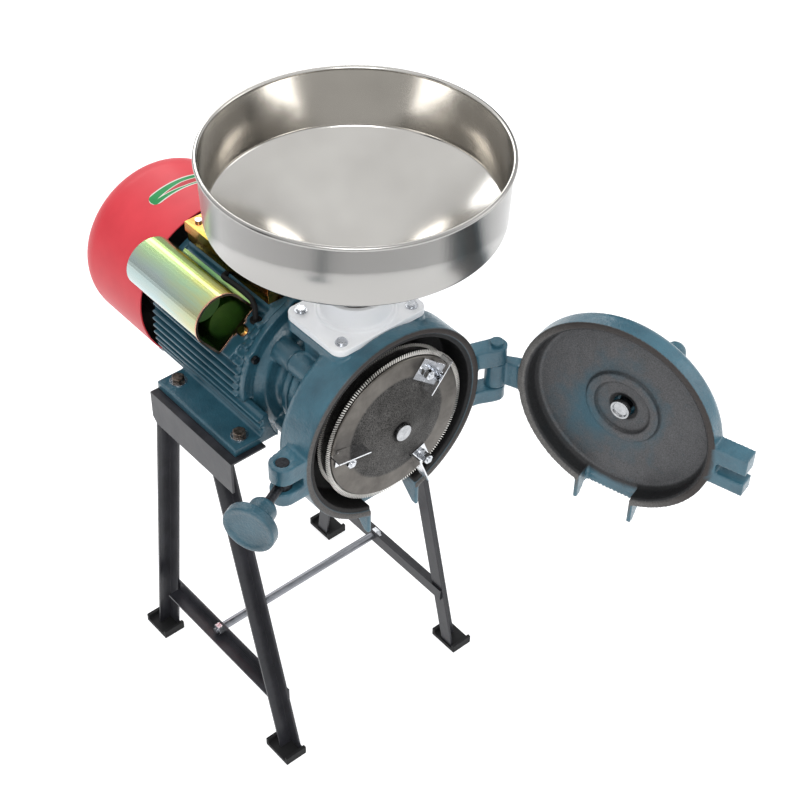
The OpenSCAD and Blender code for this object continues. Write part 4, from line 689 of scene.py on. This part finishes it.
def gloss_paint(name, base, shade_code, rough, peel=2.2, coat=0.3):
    """An even paint with orange peel of peel millimetres, on sheet that waves over 60 mm."""
    material, tree, shader = finish_named(name, Roughness=rough, Coat_Weight=coat, Coat_Roughness=0.12,
                                          Specular_IOR_Level=0.35)
    place = add(tree, "TexCoord").outputs["Object"]
    slow = add(tree, "TexNoise", {"Vector": place}, {"Scale": MM / 60, "Detail": 3.0})
    fine_peel = add(tree, "TexNoise", {"Vector": place}, {"Scale": MM / peel, "Detail": 1.0})
    tint = add(tree, "ValToRGB", {"Fac": slow}, (), [(0.3, shade_code), (0.7, base)])
    skin = eased_skin(tree, fine_peel, 0.0008, 0.12, 0.0006)
    wire(shader, Base_Color=tint, Normal=skin, Coat_Normal=skin)
    return material



def painted_shade_inside(material, node, dark):
    """Paints shade, in the dark colour, on the inside of a shell: a face is inside if it looks at the
    shell's middle.
    """
    tree = material.node_tree
    low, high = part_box(node)
    place = add(tree, "TexCoord").outputs["Object"]
    outward = add(tree, "VectorMath", {0: place}, {1: tuple((low + high) / 2)}, operation="SUBTRACT")
    unit = add(tree, "VectorMath", {0: outward}, operation="NORMALIZE")
    face = add(tree, "NewGeometry").outputs["True Normal"]
    looks = add(tree, "VectorMath", {0: unit, 1: face}, operation="DOT_PRODUCT")
    painted = add(tree, "MapRange", {"Value": looks.outputs["Value"]}, {"From Min": 0.05, "From Max": 0.3})
    shader = tree.nodes["Principled BSDF"]
    paint = shader.inputs["Base Color"].links[0].from_socket
    shade = add(tree, "Mix", {"Factor": painted, SECOND: paint}, {FIRST: colour(dark)}, data_type="RGBA")
    wire(shader, Base_Color=shade.outputs[MIXED])
    return material


# red enamel outside, and inside a near black that is painted shade
dress(painted_shade_inside(gloss_paint("red_gloss_enamel", "#EA434D", "#DC3843", 0.46, coat=0.06), "fan_cowl",
                    "#120C0C"), "fan_cowl")
# moulded plastics: a fine grain and no coat
dress(gloss_paint("black_moulded_plastic", "#1C1C1E", "#171719", 0.45, 1.2, 0.0), "power_switch",
      "cable_gland", "cooling_fan")
# a shrunk sleeve, satin green
dress(gloss_paint("green_capacitor_sleeve", "#4C7048", "#3A5A3A", 0.5, 1.2, 0.0), "run_capacitor")
dress(gloss_paint("red_moulded_plastic", "#B4252B", "#A52026", 0.35, 1.2, 0.1), "switch_rocker")
# rubber is almost matt
dress(gloss_paint("black_rubber", "#1A1A1B", "#141415", 0.72, 1.0, 0.0), "rubber_feet", "lead_grommet",
      "shaft_seal", "motor_lead")
dress(motor_enamel, "rear_end_shield")
dress(box_enamel, "hinge_pin")
# varnished copper wire
dress(plain_metal("copper_winding_wire", "#8C4A22", "#B4683A", 0.35, 2.0, 0.3), "stator_windings")
print("finish", "red_gloss_enamel")

# %% [markdown]
# The hopper is stainless sheet, spun over a former on a lathe and polished. Its outline is drawn once,
# with every corner rounded by the spinning roller, and spun into a mesh. Spin is the natural tool,
# since the real piece was made that way. The rolled rim hides the cut edge.

# %% A lathe for outlines


def soft_corners(points, radius, steps):
    """An outline whose inner corners are rounded by arcs of up to the radius."""
    out = [Vector(points[0])]
    for before, corner, after in zip(points, points[1:], points[2:]):
        a, c, b = Vector(before), Vector(corner), Vector(after)
        r = min(radius, (a - c).length * 0.45, (b - c).length * 0.45)
        start, end = c + (a - c).normalized() * r, c + (b - c).normalized() * r
        for i in range(steps + 1):
            t = i / steps
            out.append((1 - t) ** 2 * start + 2 * t * (1 - t) * c + t * t * end)
    out.append(Vector(points[-1]))
    return out


def spun(name, outline, centre, steps=192):
    """A solid of revolution from an outline of (radius, height) in millimetres. Returns its object."""
    mesh = bpy.data.meshes.new(name)
    work = bmesh.new()
    rings = []
    for r, h in outline:
        if r < 1e-6:
            rings.append([work.verts.new((0, 0, h / 1000))])
            continue
        rings.append([work.verts.new((r / 1000 * math.cos(2 * math.pi * k / steps),
                                      r / 1000 * math.sin(2 * math.pi * k / steps), h / 1000))
                      for k in range(steps)])
    for low, high in zip(rings, rings[1:]):
        for k in range(steps):
            j = (k + 1) % steps
            quad = [low[k % len(low)], low[j % len(low)], high[j % len(high)], high[k % len(high)]]
            unique = list(dict.fromkeys(quad))
            if len(unique) > 2:
                work.faces.new(unique)
    bmesh.ops.recalc_face_normals(work, faces=work.faces)
    work.to_mesh(mesh)
    work.free()
    mesh.transform(Matrix.Translation(centre))
    mesh.shade_smooth()
    item = bpy.data.objects.new(name, mesh)
    scene.collection.objects.link(item)
    return item


print("lathe ready")

# %% Hopper
hopper_y = ((hopper_low.y + hopper_high.y) / 2 - origin.y) * 1000
rim_r, rim_z, sheet, bead = 150.0, 304.0, 1.2, 2.6
wall_foot, neck_top, neck_r, seat_z = 235.0, 154.0, 31.0, 116.0
cone_r, wall_r, lift = 141, 145, 2  # the wall stands on the cone with a small step
curl = [(rim_r - bead + bead * math.sin(a), rim_z - bead - bead * math.cos(a))
        for a in [math.radians(t) for t in range(0, 271, 18)]]
outside = soft_corners([(neck_r, seat_z), (neck_r, neck_top), (cone_r, wall_foot - lift),
                        (wall_r, wall_foot + lift), (rim_r - bead, rim_z - 2 * bead)], radius=5, steps=5)
inside = soft_corners([(rim_r - bead - sheet, rim_z - bead * 1.2), (rim_r - bead - sheet, rim_z - 2 * bead),
                       (wall_r - sheet, wall_foot + lift), (cone_r - sheet, wall_foot - lift + sheet),
                       (neck_r - sheet, neck_top + sheet), (neck_r - sheet, seat_z)], radius=5, steps=5)
outline = [tuple(p) for p in outside] + curl + [tuple(p) for p in inside]
outline.append(outline[0])
hopper = spun("hopper_spinning", outline, at(0, hopper_y, 0))
merge = bmesh.new()
merge.from_mesh(hopper.data)
bmesh.ops.remove_doubles(merge, verts=merge.verts, dist=1e-6)
bmesh.ops.recalc_face_normals(merge, faces=merge.faces)
merge.to_mesh(hopper.data)
merge.free()
hopper.data.shade_smooth()
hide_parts("hopper")
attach(hopper, "frame")
print("hopper", len(hopper.data.polygons), "faces")

# %% [markdown]
# Polished stainless mirrors its surroundings, but the polishing belt leaves rings too fine to see. They
# stretch each highlight across themselves, which is what the radial sheen in the cone is. The shader's
# anisotropy does this, with its tangent running round the axis. The outside is only brushed.

# %% Polished stainless


def stainless():
    """Polished inside, brushed and a little darker outside, on sheet that waves over 70 mm."""
    material, tree, shader = finish_named("polished_stainless", Metallic=1.0, Roughness=0.14,
                                          Anisotropic=0.55)
    place = add(tree, "TexCoord").outputs["Object"]
    centred = add(tree, "Mapping", {"Vector": place},
                  {"Location": (-origin.x, -origin.y - hopper_y / 1000, 0)})
    flat = add(tree, "Mapping", {"Vector": centred}, {"Scale": (1.0, 1.0, 0.0)})
    around_axis = add(tree, "VectorMath", {0: flat}, operation="NORMALIZE")
    face = add(tree, "NewGeometry").outputs["True Normal"]
    looks = add(tree, "VectorMath", {0: around_axis, 1: face}, operation="DOT_PRODUCT")
    outer = add(tree, "MapRange", {"Value": looks.outputs["Value"]}, {"From Min": 0.1, "From Max": 0.4})
    slow = add(tree, "TexNoise", {"Vector": place}, {"Scale": MM / 70, "Detail": 2.0})
    bright = add(tree, "ValToRGB", {"Fac": slow}, (), [(0.3, "#C1BEB9"), (0.7, "#CDCAC5")])
    tint = add(tree, "Mix", {"Factor": outer, FIRST: bright}, {SECOND: colour("#AAA8A5")},
               data_type="RGBA")
    gloss = add(tree, "MapRange", {"Value": outer}, {"To Min": 0.15, "To Max": 0.24})
    sheet_wave = add(tree, "Bump", {"Height": slow}, {"Strength": 0.25, "Distance": 0.002})
    around = add(tree, "Tangent", direction_type="RADIAL", axis="Z")
    wire(shader, Base_Color=tint.outputs[MIXED], Roughness=gloss, Normal=sheet_wave, Tangent=around)
    return material


hopper.data.materials.append(stainless())
print("finish", "polished_stainless")

# %% [markdown]
# The knob, the handle and the feed seat are castings too, but smaller. A finer voxel keeps the handle's and
# the seat's shape. The knob is turned on a lathe before it is painted: its disc has a raised rim round a
# shallow dish. It follows the swing bolt's axis, which the frame gives.

# %% Knob, handle and feed seat
joints = {joint["name"]: joint for joint in frame["joints"]}
bolt_way = Vector(joints["knob_turn"]["axis"]).normalized()
bolt_root = Vector(joints["knob_turn"]["pos_m"])
knob_points = np.array([v.co for v in nodes["lock_knob"].data.vertices])
along = (knob_points - np.array(bolt_root)) @ np.array(bolt_way)
knob_from, knob_to = along.min() * MM, along.max() * MM
knob_disc, neck, neck_root, bore = 28.0, 14.5, 12.5, 5.4
disc_from = knob_to - 12.0
knob_outline = soft_corners([(bore, knob_from), (neck_root, knob_from), (neck, knob_from + 3),
                             (neck, disc_from - 2), (neck + 5, disc_from), (knob_disc, disc_from),
                             (knob_disc, knob_to), (knob_disc - 5, knob_to),
                             (knob_disc - 8, knob_to - 1.6), (5, knob_to - 2.4), (0, knob_to - 2.4)], 3.2,
                            6)
bore_wall = [(bore, knob_from), (bore, knob_to - 5), (0, knob_to - 5)]
knob = spun("knob_turning", [tuple(p) for p in reversed(bore_wall)] + [tuple(p) for p in knob_outline],
            Vector(), steps=96)
knob.data.transform(Matrix.Translation(bolt_root) @ bolt_way.to_track_quat("Z", "Y").to_matrix().to_4x4())
knob.data.materials.append(teal_enamel("teal_enamel_knob", "#315D6D", "#214856", 0.9))
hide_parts("lock_knob")
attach(knob, "lock_knob")

handle = casting("handle_forging", "adjust_handle", "adjuster", voxel=0.9, rounds=4,
                 keep=0.6)
handle.data.materials.append(box_enamel)
seat = casting("feed_seat_casting", "feed_seat", "frame", voxel=0.9, rounds=3, keep=0.4)
seat.data.materials.append(gloss_paint("white_stoved_enamel", "#FFFFFF", "#F7F8FB", 0.42, 1.6, 0.15))
print("knob", len(knob.data.polygons), "faces")

# %% [markdown]
# Fasteners repeat, so one kind of Geometry Nodes tree makes the foot bolts, the body bolts and the blade
# studs' nuts: a hexagon whose corners are cut by a cone, a washer under it and a stud through it. The tree
# copies that to points, each with an axis that the head faces along. The points come from the CAD solids, so
# that every nut sits on its own.

# %% One tree for hexagon fasteners


def group_inputs(tree, **defaults):
    """Adds a geometry socket and named numbers to a tree. Returns the group input node."""
    tree.interface.new_socket("Geometry", in_out="OUTPUT", socket_type="NodeSocketGeometry")
    tree.interface.new_socket("Geometry", in_out="INPUT", socket_type="NodeSocketGeometry")
    for key, value in defaults.items():
        kind = "NodeSocketInt" if isinstance(value, int) else "NodeSocketFloat"
        socket = tree.interface.new_socket(key, in_out="INPUT", socket_type=kind)
        socket.default_value = value
    return tree.nodes.new("NodeGroupInput")


def moved(tree, mesh, height):
    """The mesh raised by the height."""
    shift = add(tree, "CombineXYZ", {"Z": height})
    return add(tree, "GeometryNodeTransform", {"Geometry": mesh, "Translation": shift}).outputs[0]


def sum_of(tree, *sockets, scale=1.0):
    """The sum of the sockets, times the scale."""
    total = sockets[0]
    for socket in sockets[1:]:
        total = add(tree, "Math", {0: total, 1: socket}, operation="ADD").outputs[0]
    return add(tree, "Math", {0: total}, {1: scale}, operation="MULTIPLY").outputs[0]


def copied_to_points(tree, points, piece, finish, ring_finish=None):
    """Copies the piece to the points, along each one's axis, and ends the tree."""
    axis = add(tree, "GeometryNodeInputNamedAttribute", (), {"Name": "axis"}, data_type="FLOAT_VECTOR")
    turn = add(tree, "FunctionNodeAlignRotationToVector", {"Vector": axis}, axis="Z")
    copies = add(tree, "GeometryNodeInstanceOnPoints",
                 {"Points": points, "Instance": piece, "Rotation": turn})
    real = add(tree, "GeometryNodeRealizeInstances", {"Geometry": copies})
    skin = add(tree, "GeometryNodeSetMaterial", {"Geometry": real}, {"Material": finish})
    if ring_finish:
        ring = add(tree, "GeometryNodeInputNamedAttribute", (), {"Name": "washer"}, data_type="BOOLEAN")
        skin = add(tree, "GeometryNodeSetMaterial", {"Geometry": skin, "Selection": ring},
                   {"Material": ring_finish})
    add(tree, "NodeGroupOutput", {"Geometry": skin})
    return tree


def hexagon_fastener(name, finish, washer_finish):
    """Sizes in metres. The head stands on its washer, and the stud stands proud of the head."""
    tree = bpy.data.node_groups.new(name, "GeometryNodeTree")
    size = group_inputs(tree, flats=0.013, head=0.006, washer=0.009, seat=0.0015, stud=0.003, reach=0.01,
                        proud=0.001).outputs
    corner = sum_of(tree, size["flats"], scale=1 / math.sqrt(3))
    prism = add(tree, "GeometryNodeMeshCylinder", {"Radius": corner, "Depth": size["head"]}, {"Vertices": 6})
    top = sum_of(tree, size["flats"], scale=0.46)
    wide = sum_of(tree, size["head"], scale=1.73)
    bottom = sum_of(tree, top, wide)
    low = sum_of(tree, size["head"], scale=-0.5)
    cone = add(tree, "GeometryNodeMeshCone", {"Radius Top": top, "Radius Bottom": bottom,
                                              "Depth": size["head"]}, {"Vertices": 48})
    cone_low = moved(tree, cone.outputs["Mesh"], low)
    cut = add(tree, "GeometryNodeMeshBoolean", {"Mesh 2": prism.outputs["Mesh"]}, operation="INTERSECT",
              solver="EXACT")
    tree.links.new(cone_low, cut.inputs["Mesh 2"])
    head_up = moved(tree, cut.outputs["Mesh"], sum_of(tree, size["seat"],
                                                      sum_of(tree, size["head"], scale=0.5)))
    disc = add(tree, "GeometryNodeMeshCylinder", {"Radius": size["washer"], "Depth": size["seat"]},
               {"Vertices": 40})
    marked = add(tree, "GeometryNodeStoreNamedAttribute", {"Geometry": disc.outputs["Mesh"]},
                 {"Name": "washer", "Value": True}, data_type="BOOLEAN", domain="FACE")
    disc_up = moved(tree, marked.outputs[0], sum_of(tree, size["seat"], scale=0.5))
    rod = add(tree, "GeometryNodeMeshCylinder", {"Radius": size["stud"], "Depth": size["reach"]},
              {"Vertices": 28})
    rod_up = moved(tree, rod.outputs["Mesh"], sum_of(tree, size["seat"], size["head"],
                                                     sum_of(tree, size["reach"], scale=-0.5), size["proud"]))
    joined = add(tree, "GeometryNodeJoinGeometry")
    for part in (head_up, disc_up, rod_up):
        tree.links.new(part, joined.inputs[0])
    return copied_to_points(tree, size["Geometry"], joined.outputs[0], finish, washer_finish)


def run_tree(name, tree, places, axis, **sizes):
    """Runs a tree on points that share an axis. Returns a plain mesh."""
    mesh = bpy.data.meshes.new(name + "_points")
    mesh.from_pydata([tuple(p) for p in places], [], [])
    layer = mesh.attributes.new("axis", "FLOAT_VECTOR", "POINT")
    layer.data.foreach_set("vector", list(axis) * len(places))
    item = bpy.data.objects.new(name + "_points", mesh)
    scene.collection.objects.link(item)
    maker = item.modifiers.new("maker", "NODES")
    maker.node_group = tree
    for socket in tree.interface.items_tree:
        if socket.in_out == "INPUT" and socket.name in sizes:
            maker[socket.identifier] = sizes[socket.name]
    done = bpy.data.meshes.new_from_object(item.evaluated_get(bpy.context.evaluated_depsgraph_get()))
    bpy.data.objects.remove(item)
    done.name = name
    return done


def fitted(name, meshes, body, node=None):
    """One object from the meshes, which share their materials. It rides on the body."""
    work = bmesh.new()
    for mesh in meshes:
        work.from_mesh(mesh)
    work.to_mesh(meshes[0])
    work.free()
    item = bpy.data.objects.new(name, meshes[0])
    scene.collection.objects.link(item)
    if node:
        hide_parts(node)
    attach(item, body)
    print(name, len(item.data.polygons), "faces")
    return item


def solids_of(node):
    """The lowest and highest corners of each loose solid of a CAD node."""
    work = bmesh.new()
    work.from_mesh(nodes[node].data)
    bmesh.ops.remove_doubles(work, verts=work.verts, dist=1e-6)
    seen, boxes = set(), []
    for first in work.verts:
        if first.index in seen:
            continue
        seen.add(first.index)
        group, queue = [], [first]
        while queue:
            vert = queue.pop()
            group.append(vert.co.copy())
            for edge in vert.link_edges:
                other = edge.other_vert(vert)
                if other.index not in seen:
                    seen.add(other.index)
                    queue.append(other)
        boxes.append((Vector([min(c[i] for c in group) for i in range(3)]),
                      Vector([max(c[i] for c in group) for i in range(3)])))
    work.free()
    return boxes


nut_tree = hexagon_fastener("hexagon_fastener", bright_zinc, bright_zinc)
print("tree", nut_tree.name)

# %% Bolts and nuts
up_way, down_way, front_way = (0, 0, 1), (0, 0, -1), (0, -1, 0)


def middle(box, z=None, y=None):
    """The middle of a box, or the point there at another height or depth."""
    low, high = box
    half = (low + high) / 2
    return Vector((half.x, half.y if y is None else y, half.z if z is None else z))


bolts = [box for box in solids_of("motor_foot_bolts") if (box[1] - box[0]).z > 0.012]
# the foot bolts' heads have lost their plating
worn_head = plain_metal("worn_bolt_head", "#4B4038", "#8D8178", 0.4, 4.0)
bolt_tree = hexagon_fastener("foot_bolt", worn_head, bright_zinc)
heads = run_tree("foot_bolts", bolt_tree, [middle(b, z=b[1].z - 0.0066) for b in bolts], up_way,
                 flats=0.013, head=0.0054, washer=0.0094, seat=0.0014, stud=0.004, reach=0.0288,
                 proud=-0.0003)
lower = run_tree("foot_nuts", bolt_tree, [middle(b, z=b[0].z + 0.0101) for b in bolts], down_way,
                 flats=0.013, head=0.0066, washer=0.0064, seat=0.0004, stud=0.004, reach=0.004, proud=0.0)
fitted("foot_bolt_set", [heads, lower], "frame", "motor_foot_bolts")

long_bolts = solids_of("body_bolts")
heads = run_tree("body_bolt_heads", nut_tree, [middle(b, y=b[0].y + 0.008) for b in long_bolts],
                 front_way, flats=0.016, head=0.0064, washer=0.0098, seat=0.0016, stud=0.0048,
                 reach=0.0418, proud=-0.0002)
fitted("body_bolt_set", [heads], "frame", "body_bolts")

studs = solids_of("blade_screws")
inner_nuts = run_tree("inner_nuts", nut_tree, [middle(b, y=b[0].y + 0.013) for b in studs], front_way,
                      flats=0.01, head=0.005, washer=0.006, seat=0.0011, stud=0.0025, reach=0.004, proud=0.0)
outer_nuts = run_tree("outer_nuts", nut_tree, [middle(b, y=b[0].y + 0.0067) for b in studs], front_way,
                      flats=0.01, head=0.005, washer=0.0048, seat=0.0002, stud=0.003, reach=0.0213,
                      proud=0.0015)
fitted("blade_stud_set", [inner_nuts, outer_nuts], "grinding_disc", "blade_screws")

# %% [markdown]
# Both discs have a fine toothed edge. A second tree sets square teeth round a circle, each facing
# outward, and the ring is then turned to stand across the shaft.

# %% Toothed edges


def toothed_edge(name, finish):
    """A tree for a circle of square teeth that taper outward."""
    tree = bpy.data.node_groups.new(name, "GeometryNodeTree")
    size = group_inputs(tree, count=190, radius=0.0835, width=0.0012, height=0.003).outputs
    circle = add(tree, "GeometryNodeMeshCircle", {"Vertices": size["count"], "Radius": size["radius"]})
    place = add(tree, "GeometryNodeInputPosition")
    outward = add(tree, "VectorMath", {0: place}, operation="NORMALIZE")
    faced = add(tree, "GeometryNodeStoreNamedAttribute",
                {"Geometry": circle.outputs["Mesh"], "Value": outward}, {"Name": "axis"},
                data_type="FLOAT_VECTOR", domain="POINT")
    narrow = sum_of(tree, size["width"], scale=0.55)
    tooth = add(tree, "GeometryNodeMeshCone", {"Radius Bottom": size["width"], "Radius Top": narrow,
                                               "Depth": size["height"]}, {"Vertices": 4})
    return copied_to_points(tree, faced.outputs[0], tooth.outputs["Mesh"], finish)


# freshly cut edges, brighter than the discs
tooth_steel = plain_metal("bright_tooth_steel", "#C4C1BC", "#E6E3DE", 0.4, 1.0, 0.1)
tooth_tree = toothed_edge("toothed_edge", tooth_steel)
for ring_name, node, body, behind, tall in (("turning_teeth", "turning_disc", "grinding_disc", 1.9, 0.0052),
                                            ("fixed_teeth", "fixed_disc", "frame", 17.0, 0.0036)):
    low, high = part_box(node)
    ring = run_tree(ring_name, tooth_tree, [(0, 0, 0)], up_way, count=206,
                    radius=(high.x - low.x) / 2 + 0.0008, width=0.00105, height=tall)
    ring.transform(Matrix.Translation(at(0, behind, 0)) @ Matrix.Rotation(math.pi / 2, 4, "X"))
    fitted(ring_name, [ring], body)

# %% [markdown]
# A sticker on the cowl shows which way the fan turns: a green band with a pale edge and a red wedge
# that widens along the turn. It is a thin curved patch. Its distance from its own edge is written on
# the mesh in millimetres, and the material reads it.

# %% Turning-way sticker
cowl_low, cowl_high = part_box("fan_cowl")
cowl_r = (cowl_high.x - cowl_low.x) / 2 * MM
band_y, band_half, band_start, band_end = 368.2, 9.6, 113.8, 60.0
film_r = cowl_r + 0.15  # the film lies just on the paint
wedge_from, wedge_widest, wedge_slope, wedge_shift = 17, 3.4, 0.13, 1.8
cells_long, cells_wide = 200, 40
band_len = film_r * math.radians(band_start - band_end)
verts, edge_far, wedge = [], [], []
for i in range(cells_long + 1):
    s = 0.02 + (band_len - 0.04) * i / cells_long
    end = min(s, band_len - s, band_half)
    half = math.sqrt(band_half ** 2 - (band_half - end) ** 2)
    angle = math.radians(band_start) - s / film_r
    for j in range(cells_wide + 1):
        t = (2 * j / cells_wide - 1) * half
        verts.append(at(film_r * math.cos(angle), band_y + t, film_r * math.sin(angle)))
        side_far = band_half - abs(t)
        edge_far.append(min(side_far, end + (half - abs(t)) * 0.3) if end < band_half else side_far)
        wedge.append(min(wedge_widest, (s - wedge_from) * wedge_slope) - abs(t + wedge_shift))
rows = cells_wide + 1
quads = [(i * rows + j, (i + 1) * rows + j, (i + 1) * rows + j + 1, i * rows + j + 1)
         for i in range(cells_long) for j in range(cells_wide)]
sticker_mesh = bpy.data.meshes.new("turning_way_sticker")
sticker_mesh.from_pydata(verts, [], quads)
for key, values in (("edge_far", edge_far), ("wedge", wedge)):
    sticker_mesh.attributes.new(key, "FLOAT", "POINT").data.foreach_set("value", values)
sticker_mesh.shade_smooth()


def printed_film(name):
    """A gloss film, printed green, with a pale line at its edge and round the red wedge."""
    material, tree, shader = finish_named(name, Roughness=0.42, Specular_IOR_Level=0.3)
    far = add(tree, "Attribute", attribute_name="edge_far").outputs["Fac"]
    wide = add(tree, "Attribute", attribute_name="wedge").outputs["Fac"]
    place = add(tree, "TexCoord").outputs["Object"]
    wear = add(tree, "TexNoise", {"Vector": place}, {"Scale": MM / 12, "Detail": 4.0})
    green = add(tree, "ValToRGB", {"Fac": wear}, (), [(0.3, "#0B8742"), (0.7, "#129650")])
    inside = add(tree, "MapRange", {"Value": far}, {"From Min": 1.5, "From Max": 1.9})
    outside = add(tree, "MapRange", {"Value": wide},
                  {"From Min": -1.3, "From Max": -1.0, "To Min": 1.0, "To Max": 0.0})
    keeps = add(tree, "Math", {0: inside, 1: outside}, operation="MULTIPLY")
    field = add(tree, "Mix", {"Factor": keeps, SECOND: green}, {FIRST: colour("#E4E2D6")},
                data_type="RGBA")
    red = add(tree, "MapRange", {"Value": wide}, {"From Min": -0.2, "From Max": 0.1})
    whole = add(tree, "Mix", {"Factor": red, FIRST: field.outputs[MIXED]}, {SECOND: colour("#C22D38")},
                data_type="RGBA")
    skin = add(tree, "Bump", {"Height": wear}, {"Strength": 0.05, "Distance": 0.0004})
    wire(shader, Base_Color=whole.outputs[MIXED], Normal=skin)
    return material


sticker_mesh.materials.append(printed_film("printed_green_film"))
fitted("turning_way_sticker", [sticker_mesh], "frame")
